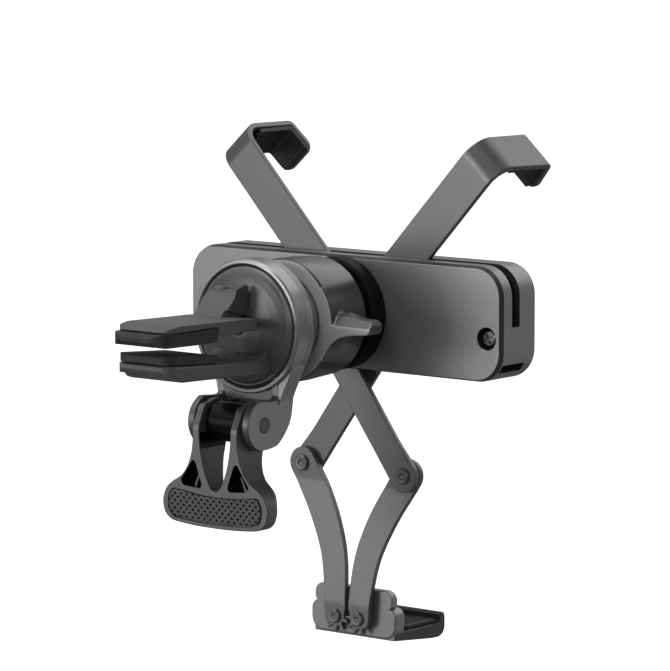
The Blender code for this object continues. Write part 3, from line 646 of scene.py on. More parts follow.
front = thing("case_front", cup(case_edge(SEAM + 0.08, FRONT, 1.1), [(SEAM + 0.08, WALL), (FRONT - WALL, WALL)], HW, HH, CASE_R))
for s in (-1, 1):
    join(front, rod(s * SCREW_X, SCREW_Z, 3.2, "y", -1.35, 7.5, 32))
    cut(front, box(min(s * 43.0, s * 52.0), max(s * 43.0, s * 52.0), -3.0, 4.6, -11.7, -9.7))
cut(front, box(-60.0, 60.0, -3.0, 1.6, -0.7, 30.0))
cut(front, box(-38.0, 38.0, -3.0, 3.4, -20.0, -12.0))
cut(front, prism(round_rect(38.0, 9.0, 3.0, 8), "y", FRONT - 0.5, FRONT + 2.0))
# Painted shade: faces more than 0.9 mm inside the outline and short of the front face take near-black.
paint(front, 1, lambda c, n: depth_in(c) > 0.9 and c.y < FRONT - 0.3)
place(front, "case", [CASE, CASE_INSIDE_SHADE], ["front_shell"])

pad = thing("phone_pad_skin", slab(round_rect(37.8, 8.8, 2.8, 10), "y", FRONT - 0.35, FRONT + 0.5, 0.25, r_lo=0.0))
grooves = []
for k in range(-6, 7):
    grooves.append(slab(round_rect(0.35, 7.6, 0.34, 6), "y", FRONT + 0.28, FRONT + 1.0, 0.0))
    for v in grooves[-1].verts:
        v.co.x += k * 5.6
cut(pad, merge(*grooves))
place(pad, "case", RUBBER, ["phone_pad"])


def screw(name, x, z, y_head, body, node, r=2.25, t=1.1, length=9.2):
    prof = soften([(0.0, y_head), (r * 0.72, y_head + 0.06), (r, y_head + 0.45), (r, y_head + t), (1.0, y_head + t), (1.0, y_head + length - 0.8), (0.0, y_head + length)],
                  0.3, 4, closed=False)
    ob = thing(name, turned(prof, x, z, 48))
    w, g = r * 0.62, r * 0.14
    cross = [(x - w, z - g), (x - g, z - g), (x - g, z - w), (x + g, z - w), (x + g, z - g), (x + w, z - g),
             (x + w, z + g), (x + g, z + g), (x + g, z + w), (x - g, z + w), (x - g, z + g), (x - w, z + g)]
    turn = Matrix.Rotation(math.radians(28), 3, "Z")
    cross = [tuple((turn @ Vector((p[0] - x, p[1] - z, 0)))[:2]) for p in cross]
    cross = [(p[0] + x, p[1] + z) for p in cross]
    cut(ob, prism(soften(cross, 0.1, 3), "y", y_head - 1.0, y_head + 0.55))
    return place(ob, body, SCREW, [node])


screw("screw_left", -SCREW_X, SCREW_Z, -5.35, "case", "case_screw_left")
screw("screw_right", SCREW_X, SCREW_Z, -5.35, "case", "case_screw_right")

# Painted shade: the collar is near-black, standing in for the shade the nut and drum cast on the case.
ring = thing("collar", turned(soften([(8.3, -6.28), (14.0, -6.28), (14.0, -10.4), (13.4, -11.0), (9.4, -11.0), (8.3, -10.4)], 0.35, 4), 0, 0, 96))
place(ring, "case", COLLAR_SHADE, ["collar_ring"])


# ================================================================ levers
def at(side, u, n):
    px = -PIVOT_X * side
    return (
        px + side * (-u * cos(ARM_ANGLE) + n * sin(ARM_ANGLE)),
        u * sin(ARM_ANGLE) + n * cos(ARM_ANGLE),
    )


def band(side, stations, edge=0.34, seg=3):
    """A bent strip. A station is (u, y, nu, ny, half thickness, n0, n1): its middle, its outward direction, its size."""
    bm = bmesh.new()
    rows = []
    for u, y, nu, ny, half, n0, n1 in stations:
        e = min(edge, half * 0.9, (n1 - n0) * 0.3)
        loop = []
        for sn, sh in ((1, 1), (1, -1), (-1, -1), (-1, 1)):
            cn = (n1 - e) if sn > 0 else (n0 + e)
            ch = sh * (half - e)
            a0 = {(1, 1): 90, (1, -1): 0, (-1, -1): -90, (-1, 1): 180}[(sn, sh)]
            for k in range(seg + 1):
                a = a0 - 90.0 * k / seg
                nn = cn + e * cos(a)
                hh = ch + e * sin(a)
                x, z = at(side, u + nu * hh, nn)
                loop.append(bm.verts.new((x, y + ny * hh, z)))
        rows.append(loop)
    k_ = len(rows[0])
    for a, b in zip(rows, rows[1:]):
        for k in range(k_):
            j = (k + 1) % k_
            bm.faces.new((a[k], a[j], b[j], b[k]))
    bm.faces.new(rows[0])
    bm.faces.new(rows[-1])
    return bm


BEND_R = 6.0
LIP_R = 2.0
LIP_TURN = 80.0
LIP_LEN = 7.6


def hook_path():
    """Middle line of the upper arm from the hub to the end of the hook."""
    t = 0.8
    st = []

    def add(u, y, nu, ny, shrink=0.0, thin=0.0):
        fl = min(1.0, max(0.0, y) / HOOK_DEPTH)
        st.append((u, y, nu, ny, t - thin, ARM_N0 - 0.9 * fl + shrink, ARM_N1 - 0.4 * fl - shrink))

    end_u = ARM_LEN - BEND_R
    for u in (7.0, 20.0, 34.0, end_u):
        add(u, 0.0, 0.0, -1.0)
    rm = BEND_R - t
    cy = -t + BEND_R
    for k in range(1, 13):
        a = 90.0 * k / 12
        add(end_u + rm * sin(a), cy - rm * cos(a), sin(a), -cos(a))
    top = HOOK_DEPTH - LIP_R
    cu = ARM_LEN - LIP_R
    rm = LIP_R - t
    for y in (9.0, 13.0):
        add(ARM_LEN - t, y, 1.0, 0.0)
    for k in range(0, 9):
        a = LIP_TURN * k / 8
        add(cu + rm * cos(a), top + rm * sin(a), cos(a), sin(a))
    u0, y0 = cu + rm * cos(LIP_TURN), top + rm * sin(LIP_TURN)
    du, dy = -sin(LIP_TURN), cos(LIP_TURN)
    nu, ny = cos(LIP_TURN), sin(LIP_TURN)
    rr = 2.6
    for d in (2.5, LIP_LEN - rr):
        add(u0 + d * du, y0 + d * dy, nu, ny)
    for k in range(1, 9):
        a = 90.0 * k / 8
        d = LIP_LEN - rr + rr * sin(a)
        thin = 0.0
        if k == 7:
            thin = 0.1
        if k == 8:
            thin = 0.35
        add(u0 + d * du, y0 + d * dy, nu, ny, shrink=rr * (1 - cos(a)), thin=thin)
    return st


def hub_outline(side):
    px = -PIVOT_X * side

    def polar(r, a):
        return px + side * r * cos(a), r * sin(a)

    out = [at(side, 16.0, ARM_N1 - 0.2), at(side, 0.0, ARM_N1 - 0.2)]
    phase = 0.0 if side == 1 else 9.0
    teeth = [phase + 18.0 * k for k in range(1, -4, -1)]
    for t in teeth:
        out += [polar(7.45, t + 6.0), polar(9.2, t + 1.9), polar(9.2, t - 1.9), polar(7.45, t - 6.0)]
    last = teeth[-1] - 6.0
    e = at(side, 7.38, ARM_N0 + 0.2)
    stop = math.degrees(math.atan2(e[1], side * (e[0] - px))) - 360.0
    for k in range(1, 12):
        out.append(polar(7.45, last + (stop - last) * k / 12))
    return out + [e, at(side, 16.0, ARM_N0 + 0.2)]


def lever_arm(name, side, y0, y1, node, body):
    ob = thing(name, band(side, hook_path()))
    join(ob, prism(hub_outline(side), "y", -0.74, 0.74))
    px = -PIVOT_X * side
    ang = 54.2

    def low(w, m_):
        return px + side * (w * cos(ang) - m_ * sin(ang)), -w * sin(ang) - m_ * cos(ang)

    kx, kz = KNEE[0] + PIVOT_X, KNEE[1]
    kw = kx * cos(ang) - kz * sin(ang)
    km = -kx * sin(ang) - kz * cos(ang)
    pts = [low(kw + 4.1 * cos(a), km + 4.1 * sin(a)) for a in [-90 + 180 * k / 24 for k in range(25)]]
    pts.append(low(kw - 8.0, 3.2 + 3.75))
    pts += [low(6.9 * cos(a), 6.9 * sin(a)) for a in [90 + 264 * k / 30 for k in range(31)]]
    pts.append(low(kw - 8.0, 3.2 - 3.8))
    join(ob, slab(soften(pts, 8.0, 6, least=4.0), "y", y0, y1, 0.28))
    mid = (y0 + y1) / 2
    join(ob, rod(px, 0, 5.6, "y", min(0.0, mid), max(0.0, mid), 48))
    cut(ob, rod(px, 0, 2.65, "y", -6.0, 6.0, 40))
    cut(ob, rod(side * KNEE[0], KNEE[1], 1.75, "y", -6.0, 6.0, 32))
    return place(ob, body, METAL, [node])


lever_arm("lever_left", 1, -2.95, -1.45, "arm_left", "left_arm")
lever_arm("lever_right", -1, 0.95, 2.45, "arm_right", "right_arm")

PAD_PROFILE = [
    (50.12, 5.6), (50.12, 18.0), (49.55, 18.55), (43.0, 19.72),
    (42.75, 18.35), (48.1, 17.4), (48.75, 16.8), (48.75, 5.6),
]


def hook_pad(name, side, node, body):
    prof = soften(PAD_PROFILE, 0.45, 4)
    bm = slab(prof, "z", ARM_N0 + 0.4, ARM_N1 - 0.4, 0.3)
    ob = thing(name, bm)
    # grooves across the inner faces leave ribs that grip
    bits = []
    for k in range(5):
        u = 43.9 + k * 0.95
        y = 18.25 - (u - 42.9) * 0.17
        bits.append(box(u - 0.2, u + 0.2, y - 1.2, y + 0.25, ARM_N0 - 2, ARM_N1 + 2))
    for k in range(8):
        y = 7.2 + k * 1.25
        bits.append(box(47.9, 48.98, y - 0.25, y + 0.25, ARM_N0 - 2, ARM_N1 + 2))
    cut(ob, merge(*bits))
    for v in ob.data.vertices:
        x, z = at(side, v.co.x, v.co.z)
        v.co = Vector((x, v.co.y, z))
    if side > 0:
        ob.data.flip_normals()
    return place(ob, body, RUBBER, [node])


hook_pad("hook_liner_left", 1, "hook_pad_left", "left_arm")
hook_pad("hook_liner_right", -1, "hook_pad_right", "right_arm")


def rivet(name, x, z, y_head, y_tail, node, body, head_r=2.05, tail_r=2.2, shank=1.6):
    prof = [
        (0.0, y_head + 0.42), (0.55, y_head + 0.40), (0.78, y_head + 0.05),
        (head_r - 0.32, y_head), (head_r, y_head + 0.3), (head_r, y_head + 0.7),
        (shank, y_head + 0.7), (shank, y_tail - 0.7), (tail_r, y_tail - 0.7),
        (tail_r, y_tail - 0.3), (tail_r - 0.3, y_tail), (0.0, y_tail),
    ]
    ob = thing(name, turned(soften(prof, 0.14, 4, closed=False), x, z, 56))
    return place(ob, body, METAL, [node])


rivet("knee_pin_right", KNEE[0], KNEE[1], -3.75, 1.3, "knee_rivet_right", "left_arm")
rivet("knee_pin_left", -KNEE[0], KNEE[1], -1.85, 3.3, "knee_rivet_left", "right_arm")

# ================================================================ links
LINK_AXIS = [
    (16.6, -39.8), (15.0, -42.3), (13.2, -45.0), (11.3, -48.0), (9.1, -52.0), (7.25, -56.0),
    (5.75, -60.0), (4.8, -64.0), (4.25, -68.0), (3.9, -72.0), (3.7, -75.0),
]
LINK_HALF = [0.0, 0.0, 3.97, 3.95, 3.92, 3.82, 3.7, 3.58, 3.45, 3.32, 3.3]


def link(name, side, node, body):
    left, right_ = [], []
    for i in range(2, len(LINK_AXIS) - 1):
        x, z = LINK_AXIS[i]
        dx = LINK_AXIS[i + 1][0] - LINK_AXIS[i - 1][0]
        dz = LINK_AXIS[i + 1][1] - LINK_AXIS[i - 1][1]
        d = math.hypot(dx, dz)
        h = LINK_HALF[i]
        right_.append((x - dz / d * h, z + dx / d * h))
        left.append((x + dz / d * h, z - dx / d * h))
    head = arc(KNEE[0], KNEE[1], 4.0, -33.0, 147.0, 26)
    fx, fz = FOOT_PIVOT
    gear = []
    phase = 0.0 if side == 1 else 18.0
    for k in range(0, 4):
        t = 180.0 + phase + 36.0 * k
        for r, da in ((2.65, -11.5), (4.05, -3.8), (4.05, 3.8), (2.65, 11.5)):
            a = t + da
            if a >= 168.0:
                gear.append((fx + r * cos(a), fz + r * sin(a)))
    gear += arc(fx, fz, 3.3, 316.0, 360.0, 6)
    outline = head + flow(left, 4) + [(fx - 3.2, fz + 2.4)] + soften(gear, 0.28, 4, closed=False) + list(reversed(flow(right_, 4)))
    outline = [(p[0] * side, p[1]) for p in outline]
    bm = slab(outline, "y", -0.75, 0.75, 0.24)
    z = -42.0
    while z > -79.0:
        bmesh.ops.bisect_plane(bm, geom=bm.verts[:] + bm.edges[:] + bm.faces[:], dist=1e-4, plane_co=(0, 0, z), plane_no=(0, 0, 1))
        z -= 1.0
    for v in bm.verts:
        t = min(1.0, max(0.0, (-44.0 - v.co.z) / 29.0))
        v.co.y += -0.25 - 3.2 * t
    ob = thing(name, bm)
    cut(ob, rod(side * KNEE[0], KNEE[1], 1.75, "y", -8, 6, 32))
    cut(ob, rod(side * fx, fz, 1.35, "y", -8, 6, 32))
    return place(ob, body, METAL, [node])


link("strap_right", 1, "link_right", "right_link")
link("strap_left", -1, "link_left", "left_link")

# ================================================================ foot
BLOCK = arc(13.3 - 3.4, -78.2, 3.4, 270, 360, 12) + arc(13.3 - 2.4, -76.2, 2.4, 0, 78, 10)
BLOCK = BLOCK + mirror(BLOCK)
TAB = [(11.3, -78.0), (11.3, -74.2), (12.2, -73.3)] + arc(12.2 - 2.4, -71.9, 2.4, 0, 90, 10)
TAB = TAB + mirror(TAB)
LEDGE = [
    (-1.0, -81.9), (14.3, -83.5), (17.6, -83.6), (19.3, -82.9), (20.0, -81.6),
    (20.0, -78.4), (19.4, -77.4), (18.4, -77.4), (17.9, -78.0), (17.9, -80.0), (-1.0, -80.0),
]
foot = thing("foot", slab(BLOCK, "y", -1.5, 2.6, 0.55, 4))
join(foot, slab(TAB, "y", -1.48, 1.0, 0.4, 4))
join(foot, slab(soften(LEDGE, [0.3, 6.0, 1.6, 1.6, 1.4, 1.2, 0.8, 0.6, 0.5, 0.5, 0.3], 5), "x", -12.6, 12.6, 0.45, 4))
cut(foot, rod(FOOT_PIVOT[0], FOOT_PIVOT[1], 1.35, "y", -4, 1.6, 32))
cut(foot, rod(-FOOT_PIVOT[0], FOOT_PIVOT[1], 1.8, "y", -4, 1.6, 32))
# Painted shade: the foot's ledge takes the near-black case grey, as if it lay in shadow.
paint(foot, 1, lambda c, n: c.y > 3.2 and c.z < -77.0)
place(foot, "foot", [CASE, CASE_PAINTED_SHADE], ["foot_bracket"])

pad = thing("ledge_pad", slab(soften([(4.7, -79.95), (17.6, -79.95), (17.6, -79.0), (4.7, -79.0)], 0.25, 3), "x", -11.8, 11.8, 0.2))
bits = []
for k in range(9):
    bits.append(box(-10.6, 10.6, 6.0 + k * 1.35 - 0.28, 6.0 + k * 1.35 + 0.28, -79.25, -78.0))
cut(pad, merge(*bits))
place(pad, "foot", RUBBER, ["foot_pad"])
bm = slab(round_rect(10.6, 2.15, 1.6, 10), "y", 2.55, 4.4, 0.4, r_lo=0.0)
for v in bm.verts:
    v.co.z += -76.6
place(thing("upright_pad", bm), "foot", RUBBER, ["back_pad"])


def foot_rivet(name, side, node, body):
    y0 = -3.45 - 0.75 - 0.85
    prof = [
        (0.0, y0 + 0.36), (0.45, y0 + 0.34), (0.66, y0 + 0.05), (1.5, y0), (1.8, y0 + 0.28), (1.8, y0 + 0.7),
        (1.2, y0 + 0.7), (1.2, 1.4), (0.0, 1.4),
    ]
    ob = thing(name, turned(soften(prof, 0.12, 4, closed=False), side * FOOT_PIVOT[0], FOOT_PIVOT[1], 48))
    return place(ob, body, METAL, [node])


foot_rivet("foot_pin_right", 1, "foot_rivet_right", "foot")
foot_rivet("foot_pin_left", -1, "foot_rivet_left", "left_link")

# ================================================================ wing nut
nut_core = [
    (11.3, -29.5), (14.6, -29.5), (15.2, -28.9), (15.2, -24.0),
    (14.7, -15.2), (14.1, -14.6), (10.2, -14.6), (10.2, -16.6), (11.3, -16.9),
]
nut = thing("nut", turned(nut_core, 0, 0, 128))
for s in (-1, 1):
    half = flow([(12.2, 9.0), (13.9, 6.2), (15.7, 4.2), (17.7, 3.0), (20.2, 2.3), (23.0, 1.9), (25.2, 1.75)], 4)
    wing = half + arc(25.25, 0.0, 1.75, 90, -90, 10)[1:-1] + [(x, -z) for x, z in reversed(half)]
    if s < 0:
        wing = [(-x, z) for x, z in wing]
    join(nut, prism(wing, "y", -29.45, -24.4))
# each wing is thin at its front edge, with a slope behind it that a finger pushes on
for s in (-1, 1):
    slope = [(-30.5, -1.4 * s), (-27.2, 2.2 * s), (-26.2, 2.7 * s), (-23.8, 3.0 * s), (-23.8, 7.5 * s), (-30.5, 7.5 * s)]
    wedge = thing("slope", prism(slope, "x", min(s * 13.0, s * 28.5), max(s * 13.0, s * 28.5)))
    cut(wedge, rod(0.0, 0.0, 15.25, "y", -32.0, -22.0, 128))
    cut(nut, solid(wedge))
soft_remesh(nut, 0.24, 6, 0.5)
# Painted light: the flat front faces of the nut and its wings take the pale copy of the nut's finish, so they read as
# lit.
paint(nut, 1, lambda c, n: c.y < -29.2 and n.y < -0.8)
place(nut, "nut", [NUT, NUT_FACE_LIT], ["wing_nut"], sharp=60.0, weighted=False)

# ================================================================ head
drum = [
    (0.0, -38.0), (14.95, -38.0), (14.95, -43.15), (15.25, -43.35), (15.85, -43.3), (16.2, -42.9),
    (16.2, -38.95), (16.02, -38.85), (16.02, -38.7), (16.2, -38.6), (16.2, -38.0), (16.02, -37.9), (16.02, -37.75), (16.2, -37.65),
    (16.2, -37.2), (15.7, -36.7), (11.7, -36.7), (11.7, -30.0), (11.0, -29.7), (11.0, -17.2),
]
pocket = [(8.75 * sin(a), BALL_Y + 8.75 * cos(a)) for a in [71.3 + (180.0 - 71.3) * i / 12 for i in range(13)]]
pocket[-1] = (0.0, BALL_Y - 8.75)
head = thing("head", turned(drum + pocket, 0, 0, 128))
EAR = [
    (-37.0, -11.0), (-36.3, -14.5), (-36.6, -18.5), (-37.8, -23.2), (-41.6, -27.5), (-44.8, -28.5),
] + [(LEVER_PIN[0] + 6.2 * cos(a), LEVER_PIN[1] + 6.2 * sin(a)) for a in range(262, 104, -12)] + [
    (-43.0, -16.9), (-42.6, -13.8), (-42.4, -11.0),
]
for s in (-1, 1):
    lo, hi = min(s * 7.4, s * 9.4), max(s * 7.4, s * 9.4)
    join(head, slab(flow(EAR, 3, closed=True), "x", lo, hi, 0.35, 3))
    cut(head, rod(LEVER_PIN[0], LEVER_PIN[1], 1.95, "x", min(s * 6.0, s * 11.0), max(s * 6.0, s * 11.0), 40))
WEB = [(15.6 * cos(a), 15.6 * sin(a)) for a in range(-148, -31, 4)] + [
    (13.9, -8.5), (12.6, -11.6), (11.1, -14.6), (10.1, -16.9), (9.1, -19.4), (7.7, -19.6),
    (7.5, -18.2), (6.6, -17.6), (-6.6, -17.6), (-7.4, -18.2), (-7.4, -19.5), (-9.4, -19.5),
    (-9.5, -17.0), (-10.0, -14.4), (-10.8, -12.3), (-13.4, -8.9),
]
join(head, slab(soften(WEB, [0.0] * 30 + [0.3, 3, 4, 4, 3, 0.6, 0.6, 0.6, 0.6, 0.6, 0.6, 0.6, 0.6, 2, 2, 2, 0.3][:len(WEB) - 30], 4), "y", -42.3, -37.4, 0.3, 3))
cut(head, rod(0.0, -39.3, 1.2, "z", -20.0, -10.0, 24))
# Painted shade: below z = -16 the web and ears take the darker head material instead of the drum's. This covers the
# whole left half, and on the right half every face except the side-facing ones.
paint(head, 1, lambda c, n: c.z < -16.0 and (c.x < 0 or abs(n.x) < 0.8))
place(head, "clamp", [DRUM, HEAD], ["head_housing"])

face = [
    (0.0, -46.2), (2.4, -46.12), (4.6, -45.9), (6.6, -45.6), (9.4, -45.0), (11.6, -44.4),
    (13.2, -43.85), (13.9, -43.45), (14.1, -43.5), (14.5, -43.2), (14.8, -42.4), (14.8, -40.6), (0.0, -40.6),
]
disc = thing("face", turned(soften(face, 1.2, 4, closed=False, least=3.0), 0, 0, 160))
LOW_JAW = [
    (-41.5, -3.5), (-44.0, -5.0), (-46.5, -6.3), (-49.5, -7.1), (-61.8, -6.45), (-80.7, -5.3),
    (-81.6, -5.8), (-81.4, -6.9), (-80.2, -7.7), (-78.3, -8.0), (-77.3, -9.0), (-75.8, -9.5),
    (-61.0, -10.0), (-45.0, -10.9), (-41.5, -11.2),
]
low_jaw = thing("low_jaw", slab(soften(LOW_JAW, 1.2, 4), "x", -8.3, 8.3, 0.7, 4))
round_nose(low_jaw, -81.6, 3.4)
join(disc, solid(low_jaw))
# plates each side of the knuckle that carry the upper jaw's pin
CHEEK = [
    (-41.5, 3.1), (-47.0, 3.2), (-49.2, 3.7), (-51.0, 4.2), (-53.6, 4.9), (-53.4, 5.5),
    (-52.2, 6.6), (-51.0, 7.7), (-50.5, 8.7), (-50.2, 9.8), (-46.6, 10.6), (-46.1, 10.4),
    (-46.0, 4.6), (-41.5, 4.5),
]
CHEEK_LEFT = [
    (-41.5, 3.2), (-47.0, 3.3), (-50.6, 4.6), (-50.9, 6.2), (-49.6, 7.5), (-48.2, 8.0), (-41.5, 8.2),
]
cut(disc, prism(soften([(-6.8, 0.3), (2.1, 0.3), (2.1, 9.9), (-6.8, 9.2)], 0.5, 4), "y", -47.5, -43.9))
join(disc, slab(soften(CHEEK, 0.35, 4), "x", 2.15, 3.1, 0.2, 3))
join(disc, slab(soften(CHEEK_LEFT, 0.5, 4), "x", -7.7, -6.85, 0.2, 3))
cut(disc, rod(JAW_PIN[0], JAW_PIN[1], 1.15, "x", -9.0, 3.04, 32))
cut(disc, box(-2.8, 1.9, -47.5, -39.0, 0.4, 9.0))
cut(disc, rod(0.0, 0.0, 1.25, "y", -47.0, -42.2, 24))
paint(disc, 1, lambda c, n: c.y < -46.6 and c.z < 0)
place(disc, "clamp", [HEAD, JAWS], ["face_disc"])

cap = thing("face_screw", turned(soften([(0.0, -46.75), (0.9, -46.7), (1.75, -46.55), (2.0, -46.35), (1.1, -46.25), (1.1, -42.6), (0.0, -42.4)], 0.1, 3, closed=False), 0, 0, 40))
place(cap, "clamp", HEAD, ["disc_screw"])

pad = thing("low_pad", slab(soften([
    (-81.4, -3.4), (-81.0, -2.979), (-63.3, -4.2536), (-63.1, -4.42), (-63.1, -6.06),
    (-63.3, -6.19), (-81.2, -5.02), (-81.4, -4.85)], 0.3, 3), "x", -8.1, 8.1, 0.3))
round_nose(pad, -81.4, 3.3)
place(pad, "clamp", RUBBER, ["lower_jaw_pad"])

jaw = thing("up_jaw", slab(soften([
    (-48.7, 0.2), (-48.7, 3.0), (-54.6, 3.4), (-76.8, 4.0), (-80.0, 3.4), (-81.4, 2.3), (-62.9, 2.3), (-62.9, 0.2)],
    [0.5, 1.1, 3.0, 3.0, 1.5, 0.5, 0.4, 0.5], 5), "x", -8.3, 8.3, 0.45, 4))
round_nose(jaw, -81.4, 3.4)
KNUCKLE = [
    (-55.2, 2.8), (-54.6, 3.6), (-53.4, 4.7), (-51.9, 6.25), (-50.3, 7.75), (-48.9, 8.7),
    (-47.4, 9.25), (-45.9, 9.3), (-45.2, 8.6), (-45.2, 5.6), (-46.2, 3.6), (-47.9, 2.4),
]
join(jaw, slab(soften(KNUCKLE, 0.7, 4), "x", -6.6, 1.9, 0.3, 4, r_hi=0.6))
# raised strip along the knuckle's back, with a small round boss in front of it
join(jaw, slab(soften([(-6.5, 8.6), (1.7, 8.9), (1.7, 10.2), (-6.5, 9.5)], 0.25, 3), "y", -46.6, -45.7, 0.2, 3))
boss = bmesh.new()
bmesh.ops.create_uvsphere(boss, u_segments=28, v_segments=16, radius=1.0)
for v in boss.verts:
    v.co = Vector((-4.2 + v.co.x * 1.75, -47.5 + v.co.y * 1.1, 9.0 + v.co.z * 1.1))
join(jaw, boss)
join(jaw, slab(soften([(-49.0, 4.0), (-49.0, 8.2), (-45.5, 7.6), (-38.2, 6.6), (-38.2, 3.4), (-45.5, 3.4)], 0.3, 3), "x", -2.4, 1.5, 0.2))
cut(jaw, rod(JAW_PIN[0], JAW_PIN[1], 1.15, "x", -9.0, 8.0, 32))
place(jaw, "jaw", JAWS, ["upper_jaw"])
pad = thing("up_pad", slab(soften([
    (-63.2, -1.0), (-63.2, 2.1), (-82.8, 2.1), (-83.45, 1.3), (-83.45, 0.0), (-82.3, -0.3), (-82.0, -0.95), (-71.0, -1.2), (-63.5, -1.15)],
    [0.7, 0.6, 0.7, 0.5, 0.4, 0.3, 0.5, 3.0, 0.6], 5), "x", -8.2, 8.2, 0.4, 4))
round_nose(pad, -83.45, 3.8)
place(pad, "jaw", RUBBER, ["upper_jaw_pad"])

# ================================================================ cam lever
def in_pocket(c):
    """Inside the three-sided pocket at the root of an arm, as seen from the front."""
    x = abs(c.x)
    return x - 3.8 > (-38.4 - c.z) * -0.35 - 0.2 and x < 7.5 + (-31.4 - c.z) * 0.66


OUT = [
    (6.9, -24.0), (7.0, -27.5), (7.6, -30.6), (8.8, -33.4), (10.6, -35.6), (13.2, -37.2),
    (15.1, -38.8), (16.1, -40.9), (16.3, -42.8), (15.8, -44.7), (14.7, -46.0), (13.0, -46.8),
    (9.0, -47.25), (4.5, -47.5), (0.0, -47.55),
]
IN = [(0.0, -38.7), (1.2, -38.1), (2.3, -36.4), (3.4, -33.6), (4.2, -30.5), (4.7, -27.0), (4.9, -24.0)]
out_ = flow(OUT, 4)
in_ = flow(IN, 4)
outline = out_ + mirror(out_)[1:] + mirror(in_)[:-1] + in_
lever = thing("lever", slab(soften(outline, 0.8, 4, least=40), "y", -55.0, -43.0, 0.5, 4))
# deep at the hub, thin at the thumb end
REAR = flow([(-44.3, -23.9), (-45.2, -28.2), (-46.8, -31.7), (-48.5, -35.6), (-50.6, -39.6), (-51.3, -42.4), (-51.4, -48.0)], 5)
boolean(lever, prism([(-60.0, -23.0), (-60.0, -49.0), (-51.3, -49.0)] + REAR[::-1] + [(-44.3, -23.0)], "x", -20.0, 20.0), "INTERSECT")
for s in (-1, 1):
    lo, hi = min(s * 4.92, s * 6.88), max(s * 4.92, s * 6.88)
    side_plate = (
        [(-54.96, -23.4), (-54.96, -27.5), (-45.6, -27.5)]
        + arc(LEVER_PIN[0], LEVER_PIN[1], 5.4, -38, 118, 18)
        + [(-52.6, -18.2)]
    )
    join(lever, slab(soften(side_plate, [2.6, 0.3, 0.3] + [0.0] * 19 + [2.2], 5), "x", lo, hi, 0.3))
    # pocket with a rib in each arm's root
    win = [(6.9, -31.4), (10.6, -36.7), (9.8, -37.9), (4.5, -38.3), (3.9, -37.4), (6.0, -31.8)]
    cut(lever, prism(soften([(s * p[0], p[1]) for p in win], 0.8, 5), "y", -60.0, -51.9))
    join(lever, prism([(s * 6.2, -34.8), (s * 6.5, -34.6), (s * 8.1, -38.0), (s * 7.6, -38.2)], "y", -52.7, -51.6))
join(lever, prism(
    arc(LEVER_PIN[0], LEVER_PIN[1], 4.9, 95, 320, 24)
    + [(-41.0, -24.4), (-38.2, -20.6), (-38.0, -18.9), (-38.8, -18.15), (-40.4, -18.2), (-44.4, -18.4)], "x", -5.5, 5.5))
cut(lever, rod(LEVER_PIN[0], LEVER_PIN[1], 1.95, "x", -9.0, 9.0, 32))
GRIP = [
    (-14.6, -41.4), (-13.8, -39.5), (-12.0, -38.75), (-6.0, -39.5), (0.0, -39.75), (6.0, -39.5),
    (12.0, -38.75), (13.8, -39.5), (14.6, -41.4), (14.5, -43.7), (13.4, -45.4), (11.8, -46.05),
    (6.0, -46.5), (0.0, -46.65), (-6.0, -46.5), (-11.8, -46.05), (-13.4, -45.4), (-14.5, -43.7),
]
cut(lever, prism(flow(GRIP, 3, closed=True), "y", -58.0, -54.1))
# Painted shade: the pockets at the roots of the arms and the hub barrel between the side plates take near-black,
# where shade falls between the parts.
paint(lever, 1, lambda c, n: -54.0 < c.y < -51.5 and c.z < -31.0 and c.z > -38.6 and abs(c.x) > 3.9 and abs(c.x) < 11.0 and (c.y > -52.1 or abs(n.y) < 0.3) and in_pocket(c))
paint(lever, 1, lambda c, n: abs(c.x) < 4.85 and math.hypot(c.y - LEVER_PIN[0], c.z - LEVER_PIN[1]) < 6.2)
place(lever, "lever", [LEVER, LEVER_SHADE], ["cam_lever"])

grip = thing("grip", slab(inset(flow(GRIP, 3, closed=True), 0.38), "y", -55.25, -54.2, 0.2, 3, r_hi=0.0))
pits = bmesh.new()
for j in range(-4, 5):
    for i in range(-8, 9):
        x = (i + (0.5 if j % 2 else 0.0)) * 1.86
        z = -42.7 + j * 0.90
        if abs(x) > 14.5:
            continue
        a, b = 0.80, 0.66
        ring_ = [pits.verts.new((x + a, -55.6, z)), pits.verts.new((x, -55.6, z + b)),
                 pits.verts.new((x - a, -55.6, z)), pits.verts.new((x, -55.6, z - b))]
        tip = pits.verts.new((x - 0.25, -54.45, z))
        pits.faces.new(ring_)
        for k in range(4):
            pits.faces.new((ring_[k], ring_[(k + 1) % 4], tip))
cut(grip, pits)
place(grip, "lever", PLASTIC, ["lever_grip"], weighted=False, sharp=20)

pin = thing("cam_pin", turned(soften([(0.0, -9.55), (1.8, -9.55), (1.8, 9.55), (0.0, 9.55)], 0.25, 4, closed=False), LEVER_PIN[0], LEVER_PIN[1], 48, axis="x"))
place(pin, "clamp", HEAD, ["lever_pin"])

# ================================================================ CAD nodes that stay
KEEP = {
    "pivot_pin_left": STEEL, "pivot_pin_right": STEEL, "ball_stud": STEEL, "ball_seat": PLASTIC,
    "jaw_pin": STEEL, "push_rod": STEEL,
}
for n_, mt in KEEP.items():
    o = frame["nodes"][n_]
    if not o.data.materials:
        o.data.materials.append(mt)
    for sl in o.material_slots:
        sl.material = mt

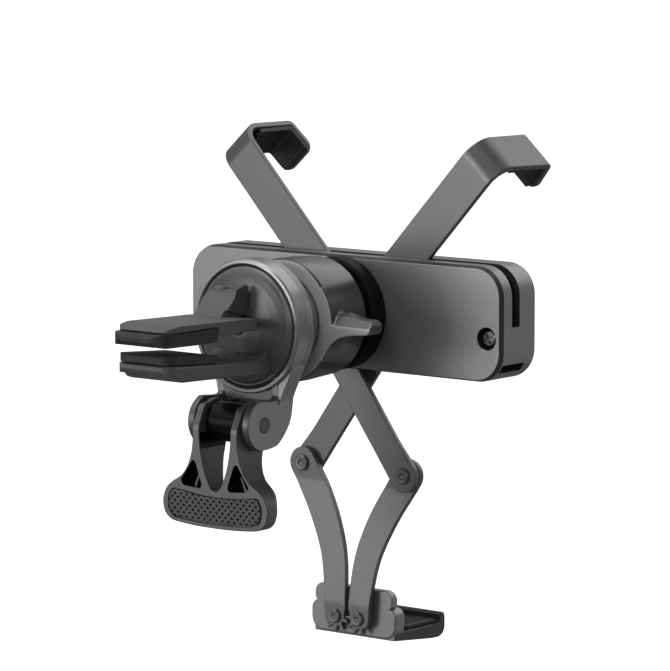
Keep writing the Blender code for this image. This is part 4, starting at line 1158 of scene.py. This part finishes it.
# ================================================================ floor and light
bm = bmesh.new()
bmesh.ops.create_grid(bm, x_segments=8, y_segments=8, size=30.0)
floor_me = bpy.data.meshes.new("floor")
bm.to_mesh(floor_me)
bm.free()
floor = bpy.data.objects.new("floor", floor_me)
COLL.objects.link(floor)
floor.location = (0.0, 0.0, -0.42)
floor_mat = finish_of("floor_paper", (0.90, 0.90, 0.90), 0.85, 0.0, vary=0.004, patch=3.0, grain=300.0, bump=0.02)
floor_mat.node_tree.nodes["Principled BSDF"].inputs["Emission Color"].default_value = (1.0, 1.0, 1.0, 1.0)
floor_mat.node_tree.nodes["Principled BSDF"].inputs["Emission Strength"].default_value = 0.75
floor_me.materials.append(floor_mat)
floor.visible_glossy = False
floor.visible_diffuse = False

w = bpy.data.worlds.new("studio")
bpy.context.scene.world = w
w.use_nodes = True
wt = w.node_tree
bg = wt.nodes["Background"]
bg.inputs["Strength"].default_value = 1.0
wc = wt.nodes.new("ShaderNodeTexCoord")

# a dim room with soft boxes: direction, brightness, cosines where each begins and is full
BOXES = [
    ((-0.45, -0.89, -0.02), 0.85, 0.93, 0.99),
    ((0.10, 0.72, 0.68), 1.30, 0.80, 0.95),
    ((-0.55, -0.30, 0.78), 0.75, 0.75, 0.95),
    ((-0.55, 0.80, 0.20), 0.22, 0.70, 0.95),
    ((0.55, 0.80, -0.15), 0.26, 0.75, 0.97),
]
ROOM = 0.16
total = None
for d, k, c0, c1 in BOXES:
    dot = wt.nodes.new("ShaderNodeVectorMath")
    dot.operation = "DOT_PRODUCT"
    dot.inputs[1].default_value = Vector(d).normalized()
    wt.links.new(wc.outputs["Generated"], dot.inputs[0])
    mr = wt.nodes.new("ShaderNodeMapRange")
    mr.interpolation_type = "SMOOTHSTEP"
    mr.inputs["From Min"].default_value = c0
    mr.inputs["From Max"].default_value = c1
    mr.inputs["To Min"].default_value = 0.0
    mr.inputs["To Max"].default_value = k
    wt.links.new(dot.outputs["Value"], mr.inputs["Value"])
    add_ = wt.nodes.new("ShaderNodeMath")
    add_.operation = "ADD"
    wt.links.new(mr.outputs["Result"], add_.inputs[0])
    if total is None:
        add_.inputs[1].default_value = ROOM
    else:
        wt.links.new(total.outputs["Value"], add_.inputs[1])
    total = add_
wt.links.new(total.outputs["Value"], bg.inputs["Color"])


def area_light(name, loc, target, sx, sy, power):
    d = bpy.data.lights.new(name, "AREA")
    d.shape = "RECTANGLE"
    d.size, d.size_y = sx, sy
    d.energy = power
    o = bpy.data.objects.new(name, d)
    COLL.objects.link(o)
    o.location = loc
    o.rotation_euler = (Vector(target) - Vector(loc)).to_track_quat("-Z", "Y").to_euler()
    o.visible_camera = False
    return o


C = world(0, -30, -20)
area_light("top", (-0.25, -0.35, 0.95), C, 0.5, 0.5, 3.0)
area_light("front", (-0.49, -0.97, 0.10), C, 0.45, 0.45, 2.8)
area_light("side", (0.55, -0.85, 0.25), C, 0.40, 0.40, 1.6)

# ================================================================ last update of the view layer
bpy.context.view_layer.update()
